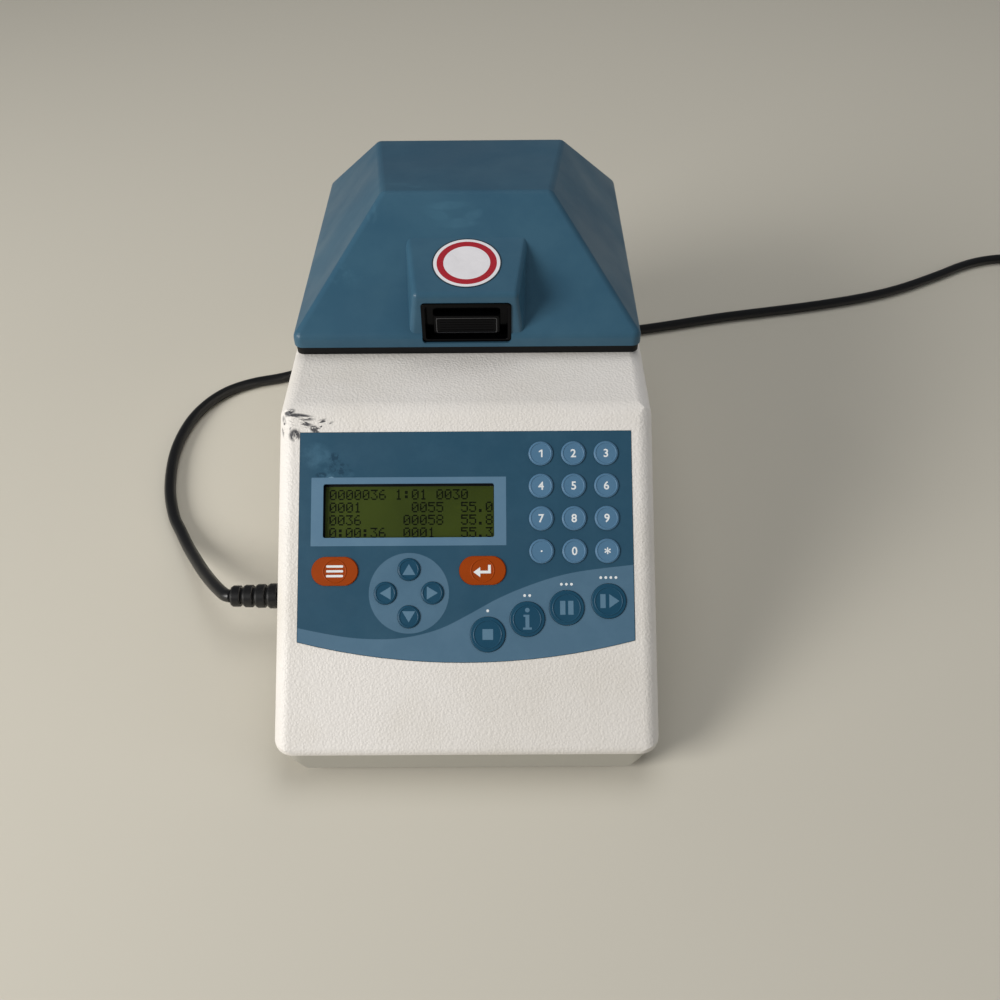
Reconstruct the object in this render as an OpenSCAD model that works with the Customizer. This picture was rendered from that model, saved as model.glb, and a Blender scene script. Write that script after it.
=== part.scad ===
// Personal thermal cycler with a hinged heated lid, a keypad on a sloped front and a mains lead.
// Millimetres. X is the width, -Y the operator's side, +Z up. The origin is on the bench,
// under the middle of the instrument.

/* [Body] */
// Width of the instrument
body_w = 167; // [160:1:190]
// Depth of the instrument, front to back
body_d = 317; // [315:1:350]
// Height of the flat deck under the lid
body_h = 115.5; // [112:0.5:125]
// Height of the foot of the sloped front
foot_z = 19.5; // [19:0.5:24]
// Depth of the sloped front, measured level
slope_run = 115; // [112:1:122]
// How far the fan guard and the switch stand out of the back
back_gear = 3; // [3:0.5:5]
// Thickness of the moulded walls
wall = 2.8; // [2.4:0.1:3.4]
// Radius along the long edges of the body
edge_r = 7; // [5:0.5:9]
// Radius of the upright corners of the body
corner_r = 9; // [7:0.5:12]
// Radius where the sloped front turns into the deck
bend_r = 12; // [6:1:20]
// Radius along the top edge of the back
back_r = 3.5; // [1:0.5:3.5]

/* [Base] */
// Height of the rubber feet
feet_h = 4; // [3:0.5:5]
// Diameter of the rubber feet
feet_d = 14; // [10:1:18]
// Height of the joint between the base tray and the housing
split_z = 17; // [15:0.5:18]
// How far the tray's sides lean inwards, top to bottom
tray_lean = 11; // [6:1:14]

/* [Keypad] */
// Width of the keypad panel
panel_w = 146.6; // [144:0.2:150]
// Distance from the bend to the top edge of the panel, along the slope
panel_top = 10.9; // [9:0.1:13]
// Height of the panel at its left and right edges
panel_h = 92.1; // [91:0.1:96]
// How far the bottom edge of the panel bows down in the middle
panel_bow = 9.1; // [5:0.1:11]
// Thickness of the printed overlay
overlay_t = 1; // [0.8:0.1:1.2]
// Diameter of a number key
num_key_d = 10.8; // [9:0.1:12]
// Distance between number keys
num_pitch = 14.4; // [13.6:0.1:14.8]
// Diameter of an arrow key
arrow_key_d = 9.8; // [8:0.1:10.6]
// Distance from the middle of the arrow pad to each arrow key
arrow_reach = 10.25; // [9.5:0.05:11]
// Diameter of a run key
run_key_d = 15.2; // [12:0.1:16]
// Width of a wide key
wide_key_w = 20.5; // [18:0.1:22]
// Height of a wide key
wide_key_h = 12.6; // [11:0.1:13]
// How far the keys stand out of the overlay
key_rise = 0.6; // [0.4:0.05:0.9]
// Travel of a key
key_travel = 0.4; // [0.2:0.05:0.45]

/* [Display] */
// Width of the display's opening
lcd_w = 75.2; // [70:0.2:77]
// Height of the display's opening
lcd_h = 23.8; // [20:0.2:25]

/* [Lid] */
// Width of the lid
lid_w = 163.6; // [158:0.2:166]
// Distance from the front of the body to the front of the lid
lid_setback = 155; // [152:1:156]
// Depth of the lid
lid_d = 158.6; // [157:0.2:159]
// Height of the black frame below the lid
band_h = 4.2; // [3.5:0.1:5]
// Height of the upright flange of the lid
flange_h = 5.6; // [4:0.1:8]
// Height of the lid's highest edge above the flange
lid_rise = 44.6; // [40:0.2:50]
// Angle of the lid's front slope
lid_front_a = 38.5; // [36:0.5:40]
// Angle of the lid's sides
lid_side_a = 47.1; // [46:0.1:48]
// Angle of the lid's back slope
lid_back_a = 57; // [54:0.5:60]
// Angle at which the lid's top falls to the back
lid_top_a = 7.5; // [4:0.5:9]
// Thickness of the lid's shell
lid_wall = 2.5; // [2:0.1:3]
// Radius of the lid's edges
lid_r = 4.5; // [4:0.1:6]
// Radius of the hinge pins
pin_r = 2; // [1.5:0.1:2.5]

/* [Sample block] */
// Wells from left to right
wells_x = 5; // [3:1:5]
// Wells from front to back
wells_y = 4; // [2:1:4]
// Distance between wells
well_pitch = 13; // [12:0.1:13.4]
// Diameter at the mouth of a well
well_d = 8; // [7:0.1:8.6]
// Depth of a well
well_depth = 22; // [18:0.5:22]
// Height of the sample block
block_h = 25; // [24:0.5:28]

/* [Cooling] */
// Side of the square fan
fan_w = 80; // [70:1:80]
// Thickness of the fan
fan_t = 25; // [20:1:25]
// Blades of the fan
fan_blades = 7; // [5:1:9]
// Fins of the heat sink
fins = 15; // [9:1:17]

/* [Lead] */
// Diameter of the mains lead
cord_d = 6.4; // [6:0.1:6.8]
// Diameter of the coiled lead, through the middle of its turns
coil_d = 72; // [64:1:77]

/* [Hidden] */
$fn = 64;
cut = 1;
fine = 0.1;
seat = 0.3;
run_gap = 0.05;

// Places on the body
front_y = -(body_d + back_gear) / 2;
back_y = front_y + body_d;
bend_y = front_y + slope_run;
slope_a = atan((body_h - foot_z) / slope_run);
slope_len = norm([body_h - foot_z, slope_run]);
tray_inset = 2;

// Places on the lid
lid_z = body_h + seat;
shell_z = lid_z + band_h;
flange_z = shell_z + flange_h;
lid_front = front_y + lid_setback;
lid_back = lid_front + lid_d;
lid_mid = (lid_front + lid_back) / 2;
hinge_y = lid_back - 1.6;
hinge_z = body_h + 8.5;
hinge_x = 45;
knuckle_w = 16;
knuckle_r = pin_r + 2.3;
lug_w = 4;
lug_r = pin_r + 3;
hinge_room = lug_r + 1.5;

// Places of the keys and the display, across from the panel's edges and down the slope
// from the bend
panel_left = -panel_w / 2;
panel_right = panel_w / 2;
num_x = panel_right - 25.7;
num_s = panel_top + 10.05;
arrows = [panel_left + 48.5, panel_top + 71.15];
wide_s = panel_top + 61.5;
menu_x = panel_left + 16.1;
enter_x = arrows.x + 32.15;
run_keys = [for (p = [[63.8, 89.2], [46.6, 82.7], [29.45, 77.9], [11.15, 75.1]])
    [panel_right - p.x, panel_top + p.y]];
lcd_at = [panel_left + 10.6 + lcd_w / 2, panel_top + 23.1 + lcd_h / 2];
key_gap = 0.1;
key_sink = key_travel + run_gap;
ring_rise = 0.2;
sheet_t = 0.5;
overlay_proud = 0.2;
pocket_depth = overlay_t - overlay_proud + sheet_t;
pocket_gap = 0.15;

// Latch in the lid's front
boss_front = lid_front + 1.5;
boss_w = 49.6;
boss_top_z = flange_z + 22.6;
boss_back = lid_front + 38.2;
boss_back_z = flange_z + 30.1;
window_w = 41.6;
window_low = shell_z + 2;
window_high = flange_z + 17.4;
bezel_wall = 1.5;
pad_w = 30.6;
pad_low = window_low + 2.6;
pad_high = pad_low + 10.2;
lever_y = boss_front + 9.9;
lever_t = 3;
lever_w = 14;
latch_z = window_high - 3;
latch_pin_r = 1.25;
latch_angle = 10;
hook_low = body_h - 7.5;
hook_nose = 2.4;
hook_swing = (latch_z - hook_low) * sin(latch_angle);
hook_room = lever_t + hook_nose + hook_swing + 3.5;
hook_shift = (hook_swing - hook_nose) / 2 + 0.6;
lever_knuckle = 2.7;
ear_x = 12.5;
ear_w = 2.4;
bezel_deep = 7.2;
bezel_back = 1.4;
spring_wire = 0.4;

// Case screws and the posts that they hold
screw_x = body_w / 2 - 25.5;
screw_places = [for (x = [-screw_x, screw_x], y = [front_y + 46, back_y - 45]) [x, y]];
screw_r = 1.7;
screw_head_r = 3;
screw_bite = 13;
post_r = 5;

// Sample block and what carries it
block_top = body_h - 2.5;
block_margin = 8;
block_w = (wells_x - 1) * well_pitch + 2 * block_margin;
block_l = (wells_y - 1) * well_pitch + 2 * block_margin;
block_z = block_top - block_h;
bay_w = block_w + 24;
bay_l = block_l + 24;
surround_t = 2;
surround_lip = 5;
peltier_t = 3.8;
sink_base = 6;
sink_side = 33.5;
sink_w = body_w - 2 * sink_side;
sink_l = 88;
fin_h = 34;
fin_t = 1.8;
sink_top = block_z - peltier_t;

// Heated plate in the lid
plate_w = block_w + 6;
plate_l = block_l + 6;
plate_t = 6;

// Boards: the display's board keeps clear of the housing's left wall
board_z = split_z;
board_t = 1.6;
board_side = 28.5;
main_board_w = body_w - 2 * board_side;
main_board_l = 90;
main_board_y = bend_y + 25;
supply_side = 33.5;
supply_w = body_w - 2 * supply_side;
supply_l = 48;
supply_t = 3;
supply_y = front_y + 66;
display_board_w = 2 * (body_w / 2 - wall - 6.6 + lcd_at.x);
display_board_l = lcd_h + 36.2;
display_frame_l = lcd_h + 16.2;

// Fan at the back
fan_z = split_z + 8 + fan_w / 2;
fan_back = back_y - wall;
fan_bore = fan_w / 2 - 2.5;
fan_hub = 16;
fan_shaft = 1.5;
vent_d = fan_w - 6;
guard_wire = 1;
guard_screw = (fan_w - 8.5) / 2 * sqrt(2);
guard_rings = 5;

// Mains switch and lead
switch_w = 13;
switch_h = 19;
switch_x = -(fan_w + switch_w) / 2 - 11.5;
switch_z = split_z + 23;
rocker_r = switch_h / 2 - 0.6;
rocker_tip = [switch_h / 2 - 2.1, 4.9];
rocker_tilt = 6;
rocker_axis = back_gear - rocker_tip.y * cos(rocker_tilt) - rocker_tip.x * sin(rocker_tilt);
boot_y = -76;
boot_z = 24.5;
boot_len = 32;
boot_r = 5;
collar_r = 7;
segments = 5;

// Route of the lead from its boot, on the bench and behind the body to the coil
route = [
    [-115.5, -76, 24.5], [-120, -73.5, 23], [-128, -63.5, 19], [-136.5, -51, 14], [-144.5, -38, 9.5],
    [-152, -25.5, 6], [-159.5, -12, 4], [-167, 2, 3.2], [-174.5, 25, 3.2], [-178.5, 54, 3.2],
    [-176.5, 80, 3.2], [-170, 99, 3.2], [-159, 113.5, 3.2], [-144, 122.5, 3.2], [-126, 128, 3.2],
    [-111, 135.5, 3.2], [-99, 148, 3.2], [-86, 160, 3.2], [-70, 167, 3.2], [-45, 170, 3.2],
    [0, 171.5, 3.2], [45, 173, 3.2], [85, 175.5, 3.2], [118, 181.5, 3.2], [166, 193.5, 3.2],
    [200, 200.5, 3.2], [236, 208, 3.2], [272, 217.5, 3.2], [302, 229, 3.2], [333, 245.5, 3.2],
    [356, 259, 3.2], [374, 266.5, 3.2], [394, 270, 3.2], [420, 270.5, 3.2], [448, 270.5, 3.2]
];
coil_at = [448, 270.5 - coil_d / 2 - cord_d];
coil_across = 3 * cord_d;
coil_high = 1.87 * cord_d;
tail_x = coil_at.x + coil_d / 2 + cord_d / 2;
tail_len = 36;
plug_relief = 24;
plug_len = 38;
plug_w = 26;
plug_t = 19;
plug_at = [tail_x, coil_at.y - tail_len - plug_relief - plug_len / 2];

// Colours
white_shell = "#ddd8d2";
grey_shell = "#a9a69b";
lid_blue = "#335a70";
key_blue = "#4a6f8c";
deep_blue = "#1d4458";
panel_blue = "#2d5166";
orange = "#b04a12";
black = "#1c1c1e";
metal = "#b9bcc0";
board_green = "#1f5a3a";

// Places things on the sloped front: x across, s down the slope, z out of its face.
module on_slope(x = 0, s = 0) {
    translate([0, bend_y, body_h]) rotate([slope_a, 0, 0]) translate([x, -s, 0]) children();
}

// Extrudes a profile drawn as (y, z) across the width, centred.
module across(w) {
    rotate([90, 0, 90]) linear_extrude(w, center = true) children();
}

// Extrudes a profile drawn as (x, z) from y = a to y = b.
module along(a, b) {
    translate([0, b, 0]) rotate([90, 0, 0]) linear_extrude(b - a) children();
}

function unit(v) = v / norm(v);
function before(i, n) = (i + n - 1) % n;
function after(i, n) = (i + 1) % n;
function half_angle(p, a, b) = acos(unit(a - p) * unit(b - p)) / 2;

// A convex outline with a round corner at each point that has a radius.
module rounded(points, radii) {
    n = len(points);
    ends = [for (i = [0:n - 1]) let (
        p = points[i], a = points[before(i, n)], b = points[after(i, n)],
        t = radii[i] / tan(half_angle(p, a, b)))
        each radii[i] > 0 ? [p + t * unit(a - p), p + t * unit(b - p)] : [p]];
    polygon(ends);
    for (i = [0:n - 1]) if (radii[i] > 0) {
        p = points[i];
        a = points[before(i, n)];
        b = points[after(i, n)];
        h = half_angle(p, a, b);
        translate(p + unit(unit(a - p) + unit(b - p)) * radii[i] / sin(h)) circle(radii[i]);
    }
}

module rounded_box(w, l, r) {
    rounded([[-w / 2, -l / 2], [w / 2, -l / 2], [w / 2, l / 2], [-w / 2, l / 2]], [r, r, r, r]);
}

// A box centred in x and y, standing on z = 0, with round upright corners.
module plate(w, l, h, r) {
    linear_extrude(h) rounded_box(w, l, r);
}

// The moulded form of the body, made smaller by t on every side and reaching down to z = low.
module body_form(t, low) {
    nose = [front_y + t, foot_z];
    bend = [bend_y + t * tan(slope_a / 2), body_h - t];
    toe = [front_y + t, body_h - t - (bend.x - front_y - t) * tan(slope_a)];
    half = body_w / 2 - t;
    tall = body_h - t;
    r = edge_r - t;
    intersection() {
        across(body_w + 20) rounded(
            [[toe.x, low], [toe.x, max(low + fine, toe.y)], bend, [back_y - t, tall], [back_y - t, low]],
            [0, t > 0 ? 0 : 3, bend_r, max(back_r - t, fine), 0]);
        on_slope() along(-slope_len * 2, slope_len * 4) rounded(
            [[-half, -body_h * 3], [half, -body_h * 3], [half, -t], [-half, -t]], [0, 0, r, r]);
        along(front_y * 2, back_y * 2) rounded(
            [[-half, -foot_z], [half, -foot_z], [half, tall], [-half, tall]], [0, 0, r, r]);
        translate([0, (front_y + back_y) / 2, low]) linear_extrude(body_h)
            rounded_box(body_w - 2 * t, body_d - 2 * t, corner_r - t);
    }
}

// The outline of the keypad panel, seen square to the slope, made larger by g.
module panel_outline(g) {
    w = panel_w / 2 + g;
    bow_r = (pow(panel_w / 2, 2) + pow(panel_bow, 2)) / (2 * panel_bow) + g;
    low = panel_top + panel_h + panel_bow + g;
    intersection() {
        translate([-w, -low]) square([2 * w, low - panel_top + g]);
        translate([0, bow_r - low]) circle(bow_r, $fn = 180);
    }
}

// The holes that the keys stand in, as a flat pattern on the slope, with g of room round each.
module key_holes(g) {
    for (c = [-1:1], r = [0:3])
        translate([num_x + c * num_pitch, -num_s - r * num_pitch]) circle(num_key_d / 2 + g);
    for (a = [0:90:270])
        translate([arrows.x, -arrows.y]) rotate(a) translate([arrow_reach, 0])
            circle(arrow_key_d / 2 + g);
    for (k = run_keys) translate([k.x, -k.y]) circle(run_key_d / 2 + g);
    for (x = [menu_x, enter_x]) translate([x, -wide_s]) stadium(wide_key_w + 2 * g, wide_key_h + 2 * g);
}

module stadium(w, h) {
    square([w - h, h], center = true);
    for (s = [-1, 1]) translate([s * (w - h) / 2, 0]) circle(h / 2);
}

module lcd_hole(g) {
    translate([lcd_at.x, -lcd_at.y]) rounded_box(lcd_w + 2 * g, lcd_h + 2 * g, 1);
}

/* Base */

// The base tray's form: its sides lean inwards towards the bench.
module tray_form(t) {
    half_top = body_w / 2 - tray_inset - t;
    half_low = half_top - tray_lean;
    front = front_y + tray_inset + t;
    back = back_y - tray_inset - t;
    low = feet_h + t;
    intersection() {
        along(front, back) polygon(
            [[-half_low, low], [half_low, low], [half_top, split_z], [half_top, split_z + 2 * t],
             [-half_top, split_z + 2 * t], [-half_top, split_z]]);
        translate([0, (front + back) / 2, low]) plate(2 * half_top, back - front, body_h, corner_r - t);
    }
}

module base_tray() color(grey_shell) difference() {
    union() {
        difference() {
            tray_form(0);
            tray_form(wall);
        }
        for (p = screw_places) translate([p.x, p.y, feet_h + fine])
            cylinder(r = post_r, h = split_z - feet_h - fine);
        // Posts under the main board
        for (x = [-40, 40], y = [-30, 30]) translate([x, main_board_y + y, feet_h + fine])
            cylinder(r = 3.5, h = split_z - feet_h - fine);
    }
    for (p = screw_places) translate([p.x, p.y, 0]) {
        cylinder(r = screw_r + 0.2, h = split_z + cut);
        cylinder(r = screw_head_r + 0.3, h = feet_h + 2.6);
    }
    // Air slots under the heat sink
    for (i = [-4:4]) translate([i * 8, lid_mid - 6, feet_h - cut])
        linear_extrude(wall + 2 * cut) rotate(90) stadium(60, 3.4);
}

module feet() color(black) for (x = [-1, 1], y = [front_y + 22, back_y - 22]) {
    place = [x * (body_w / 2 - tray_inset - tray_lean - feet_d / 2 - 3), y, 0];
    translate(place) rotate_extrude() polygon(
        [[0, 0], [feet_d / 2 - 1, 0], [feet_d / 2, 1], [feet_d / 2, feet_h], [0, feet_h]]);
}

module case_screws() color(metal) for (p = screw_places) translate([p.x, p.y, feet_h + 0.6]) {
    difference() {
        cylinder(r = screw_head_r, h = 2);
        for (a = [0, 90]) rotate(a) cube([3.6, 0.8, 1.6], center = true);
    }
    translate([0, 0, 2]) cylinder(r = screw_r, h = split_z - feet_h + screw_bite - 4);
}

/* Housing */

// The housing: one moulded shell with a sloped front, open below.
module top_housing() color(white_shell) difference() {
    union() {
        difference() {
            body_form(0, split_z);
            body_form(wall, split_z - cut);
        }
        // Posts that the case screws hold
        intersection() {
            for (p = screw_places) translate([p.x, p.y, split_z]) cylinder(r = post_r, h = body_h);
            body_form(wall / 2, split_z);
        }
    }
    for (p = screw_places) translate([p.x, p.y, split_z - cut])
        cylinder(r = screw_r, h = screw_bite + cut);
    // Pocket for the keypad and the way through to the display
    on_slope() translate([0, 0, -pocket_depth])
        linear_extrude(pocket_depth + cut) panel_outline(pocket_gap);
    on_slope() translate([0, 0, -wall - cut]) linear_extrude(wall + 2 * cut) lcd_hole(1.6);
    // Bay for the sample block, with a step for its surround
    translate([0, lid_mid, block_top - 8])
        plate(bay_w - 2 * surround_lip, bay_l - 2 * surround_lip, 20, 4);
    translate([0, lid_mid, body_h - surround_t]) plate(bay_w + fine, bay_l + fine, 20, 6);
    // Slot for the latch hook
    translate([0, lever_y + hook_shift, body_h - wall - cut]) plate(lever_w + 5, hook_room + 1, 20, 1.5);
    // Fan opening with the holes of its screws
    translate([0, fan_back - cut, fan_z]) rotate([-90, 0, 0]) {
        cylinder(d = vent_d, h = wall + 2 * cut);
        for (a = [45:90:315]) rotate(a) translate([guard_screw, 0, 0])
            cylinder(r = 1.7, h = wall + 2 * cut);
    }
    // Opening for the mains switch
    translate([switch_x, fan_back - cut, switch_z]) rotate([-90, 0, 0])
        linear_extrude(wall + 2 * cut) rounded_box(switch_w + 2, switch_h + 2, 1);
    // Hole for the lead
    translate([-body_w / 2 - cut, boot_y, boot_z]) rotate([0, 90, 0])
        cylinder(r = boot_r, h = wall + 2 * cut);
}

/* Keypad and display */

module switch_layer() color("#c8b98a") on_slope() translate([0, 0, -pocket_depth])
    linear_extrude(sheet_t) difference() {
        panel_outline(0);
        lcd_hole(1.6);
    }

module key_overlay() color(panel_blue) on_slope() translate([0, 0, overlay_proud - overlay_t])
    linear_extrude(overlay_t) difference() {
        panel_outline(0);
        key_holes(key_gap);
        lcd_hole(0);
    }

module lcd_window() color("#c9d4cc", 0.4) on_slope(lcd_at.x, lcd_at.y)
    translate([0, 0, overlay_proud - overlay_t - 1])
        linear_extrude(1) rounded_box(lcd_w + 2.8, lcd_h + 2.8, 1);

module lcd_module() color("#3c4a12") on_slope(lcd_at.x, lcd_at.y) {
    glass_top = overlay_proud - overlay_t - 1 - fine;
    translate([0, 0, -wall - fine]) plate(lcd_w + 2, lcd_h + 2, glass_top + wall + fine, 0.5);
    translate([0, 0, -wall - 8]) plate(display_board_w - 1, display_frame_l, 8 - fine, 1);
    translate([0, 0, -wall - 8 - board_t]) plate(display_board_w, display_board_l, board_t, 1);
}

// A key: a disc with a rolled edge, sunk in the overlay and standing out of it. An embossed
// ring of radius ring_r stands on its top.
module key_cap(r, ring_r) {
    top = overlay_proud + key_rise;
    low = overlay_proud - overlay_t + key_sink;
    edge = 0.35;
    rotate_extrude() {
        translate([0, low]) square([r, top - edge - low]);
        translate([0, low]) square([r - edge, top - low]);
        translate([r - edge, top - edge]) circle(edge, $fn = 24);
        translate([ring_r, top - ring_rise]) circle(2 * ring_rise, $fn = 24);
    }
}

// A wide key with half-round ends, a stepped edge and a round embossed ring.
module wide_cap() {
    top = overlay_proud + key_rise;
    low = overlay_proud - overlay_t + key_sink;
    step = 0.3;
    ring_r = wide_key_h / 2 - 1.3;
    translate([0, 0, low]) linear_extrude(top - step - low) stadium(wide_key_w, wide_key_h);
    translate([0, 0, low]) linear_extrude(top - low) stadium(wide_key_w - 2 * step, wide_key_h - 2 * step);
    rotate_extrude() translate([ring_r, top - ring_rise]) circle(2 * ring_rise, $fn = 24);
}

module num_key(column, row) color(key_blue)
    on_slope(num_x + (column - 1) * num_pitch, num_s + row * num_pitch)
        key_cap(num_key_d / 2, num_key_d / 2 - 0.75);

module arrow_key(a) color(deep_blue)
    on_slope(arrows.x, arrows.y) rotate(a) translate([arrow_reach, 0, 0])
        key_cap(arrow_key_d / 2, arrow_key_d / 2 - 0.75);

module run_key(i) color(deep_blue) on_slope(run_keys[i].x, run_keys[i].y)
    key_cap(run_key_d / 2, run_key_d / 2 - 1.6);

module wide_key(x) color(orange) on_slope(x, wide_s) wide_cap();

/* Electronics */

module main_board() {
    color(board_green) translate([0, main_board_y, board_z]) plate(main_board_w, main_board_l, board_t, 1);
    color(black) for (x = [-38:19:38], y = [-24, 6])
        translate([x, main_board_y + y, board_z + board_t - fine]) plate(12, 16, 3 + fine, 0.4);
    color(metal) for (x = [-30, 0, 30])
        translate([x, main_board_y + 34, board_z + board_t - fine]) cylinder(d = 10, h = 14);
}

module power_supply() translate([0, supply_y, 0]) {
    top = split_z + supply_t - fine;
    color(metal) translate([0, 0, split_z]) plate(supply_w, supply_l, supply_t, 1);
    color(metal) for (y = [-18, 18])
        translate([0, y, feet_h + wall]) plate(20, 8, split_z - feet_h - wall + fine, 1);
    color("#2a2a2c") translate([22 - supply_w / 2, 2, top]) plate(36, 34, 22, 1);
    color("#c07a1a") translate([supply_w / 2 - 32, 2, top]) cylinder(d = 28, h = 14);
    color(black) for (x = [8, 54]) translate([supply_w / 2 - x, 12, top]) cylinder(d = 12, h = 18);
}

/* Sample block */

module block_surround() color(black) translate([0, lid_mid, 0]) difference() {
    union() {
        translate([0, 0, body_h - surround_t]) plate(bay_w, bay_l, surround_t, 6);
        translate([0, 0, block_top - 7])
            plate(bay_w - 2 * surround_lip - 0.4, bay_l - 2 * surround_lip - 0.4, 8, 4);
    }
    translate([0, 0, block_top - 8]) plate(block_w + 6, block_l + 6, 20, 3);
}

module block_gasket() color("#303236") translate([0, lid_mid, block_top - 5]) difference() {
    plate(block_w + 6, block_l + 6, 4, 3);
    translate([0, 0, -cut]) plate(block_w, block_l, 4 + 2 * cut, 2);
}

// The block: a solid bar of metal with a tapered well for each tube.
module sample_block() color("#c6c9cc") translate([0, lid_mid, 0]) difference() {
    union() {
        translate([0, 0, block_z]) plate(block_w, block_l, block_h, 2);
        translate([0, 0, block_z]) plate(block_w + 8, block_l + 8, 4, 2);
    }
    for (i = [0:wells_x - 1], j = [0:wells_y - 1])
        translate([(i - (wells_x - 1) / 2) * well_pitch, (j - (wells_y - 1) / 2) * well_pitch, block_top])
            well();
}

module well() {
    straight = well_depth * 0.42;
    toe_r = 1.6;
    translate([0, 0, -well_depth]) rotate_extrude() polygon(
        [[0, 0], [toe_r, 0], [well_d / 2, well_depth - straight], [well_d / 2, well_depth - 0.6],
         [well_d / 2 + 0.6, well_depth], [well_d / 2 + 0.6, well_depth + cut], [0, well_depth + cut]]);
}

module peltier_modules() color("#e8e6df") for (s = [-1, 1])
    translate([s * (block_w / 4 + 0.2), lid_mid, sink_top])
        plate(block_w / 2 - 1, block_l - 2, peltier_t, 0.5);

module heat_sink() color("#8f9498") translate([0, lid_mid - 6, 0]) {
    translate([0, 0, sink_top - sink_base]) plate(sink_w, sink_l, sink_base, 1);
    pitch = (sink_w - fin_t) / (fins - 1);
    for (i = [0:fins - 1])
        translate([-sink_w / 2 + i * pitch, -sink_l / 2, sink_top - sink_base - fin_h])
            cube([fin_t, sink_l, fin_h + fine]);
    // Legs that stand on the tray
    for (s = [-1, 1]) translate([s * (sink_w / 2 - 6), 0, feet_h + wall])
        plate(8, 14, sink_top - sink_base - feet_h - wall, 1);
}

/* Fan */

module fan_ring(r_in, r_out, h) difference() {
    cylinder(r = r_out, h = h);
    translate([0, 0, -cut]) cylinder(r = r_in, h = h + 2 * cut);
}

module at_fan() {
    translate([0, fan_back - fan_t, fan_z]) rotate([-90, 0, 0]) children();
}

module fan_frame() color(black) at_fan() {
    difference() {
        plate(fan_w, fan_w, fan_t, 4);
        translate([0, 0, -cut]) cylinder(r = fan_bore, h = fan_t + 2 * cut);
        for (a = [45:90:315]) rotate(a) translate([guard_screw, 0, -cut])
            cylinder(r = 2.1, h = fan_t + 2 * cut);
    }
    for (a = [20:90:290]) rotate(a) translate([fan_hub - 2, -1.6, 0])
        cube([fan_bore - fan_hub + 3, 3.2, 4]);
    cylinder(r = fan_hub, h = 4);
    cylinder(r = fan_shaft, h = fan_t - 5);
}

module fan_impeller() color("#26282b") at_fan() difference() {
    union() {
        translate([0, 0, 4.6]) cylinder(r = fan_hub, h = fan_t - 6.6);
        intersection() {
            translate([0, 0, 5]) fan_ring(fan_hub - 1, fan_bore - 1.2, fan_t - 7.4);
            for (i = [0:fan_blades - 1]) rotate(i * 360 / fan_blades) translate([0, 0, fan_t / 2 + 0.8])
                rotate([38, 0, 0]) translate([fan_hub - 3, -13, -0.9]) cube([fan_w, 26, 1.8]);
        }
    }
    translate([0, 0, -cut]) cylinder(r = fan_shaft + run_gap, h = fan_t - 3);
}

// Finger guard: rings of wire under two cross wires, with an eye and a screw at each corner.
module fan_guard() color(metal) translate([0, back_y, fan_z]) rotate([-90, 0, 0]) {
    for (i = [0:guard_rings - 1]) translate([0, 0, guard_wire]) rotate_extrude()
        translate([7 + i * (vent_d / 2 - 8) / (guard_rings - 1), 0]) circle(guard_wire, $fn = 24);
    for (a = [45, 135]) rotate(a) translate([-guard_screw, 0, back_gear - guard_wire]) rotate([0, 90, 0])
        cylinder(r = guard_wire, h = 2 * guard_screw, $fn = 24);
    for (a = [45:90:315]) rotate(a) translate([guard_screw, 0, 0]) {
        cylinder(r = 3.6, h = back_gear - guard_wire);
        translate([0, 0, -wall - 12]) cylinder(r = 1.6, h = wall + 12.1);
    }
}

/* Hinge */

module hinge_lugs() color(black) for (s = [-1, 1], e = [-1, 1])
    translate([s * hinge_x + e * (knuckle_w + lug_w + 2 * seat) / 2, 0, 0]) difference() {
        across(lug_w) union() {
            translate([hinge_y, hinge_z]) circle(lug_r);
            polygon([[hinge_y - lug_r, body_h], [hinge_y + 1, body_h], [hinge_y + lug_r, hinge_z],
                     [hinge_y - lug_r, hinge_z]]);
        }
        translate([0, hinge_y, hinge_z]) rotate([0, 90, 0]) cylinder(r = pin_r, h = lug_w * 2, center = true);
    }

module hinge_pins() color(metal) for (s = [-1, 1])
    translate([s * hinge_x, hinge_y, hinge_z]) rotate([0, 90, 0])
        cylinder(r = pin_r, h = knuckle_w + 2 * lug_w + 2 * seat, center = true);

/* Latch */

module latch_keeper() color(metal) difference() {
    translate([0, lever_y + hook_shift, body_h - wall - 2]) plate(lever_w + 22, hook_room + 10, 2, 2);
    translate([0, lever_y + hook_shift, body_h - wall - 3]) plate(lever_w + 4, hook_room, 4, 1);
}

module latch_bezel() color(black) {
    high = window_high - window_low;
    mid = (window_low + window_high) / 2;
    pad_mid = (pad_low + pad_high) / 2;
    translate([0, boss_front - 0.2, mid]) rotate([-90, 0, 0]) difference() {
        linear_extrude(bezel_deep) rounded_box(window_w - 0.3, high - 0.3, 1.6);
        translate([0, 0, -cut]) linear_extrude(bezel_deep - bezel_back + cut)
            rounded_box(window_w - 2 * bezel_wall, high - 2 * bezel_wall, 1);
        translate([0, mid - pad_mid, bezel_deep - bezel_back - fine]) linear_extrude(bezel_back + cut)
            square([pad_w + 0.8, pad_high - pad_low + 2.6], center = true);
    }
    // Ears that hold the latch pin
    for (s = [-1, 1]) translate([s * ear_x, 0, 0]) difference() {
        across(ear_w) union() {
            translate([lever_y, latch_z]) circle(3);
            translate([boss_front + bezel_deep - 0.4, latch_z - 3])
                square([lever_y - boss_front - bezel_deep + 0.4, 6]);
        }
        translate([0, lever_y, latch_z]) rotate([0, 90, 0]) cylinder(r = latch_pin_r, h = 5, center = true);
    }
}

module latch_pin() color(metal) translate([0, lever_y, latch_z]) rotate([0, 90, 0])
    cylinder(r = latch_pin_r, h = 2 * ear_x + ear_w, center = true);

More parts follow.
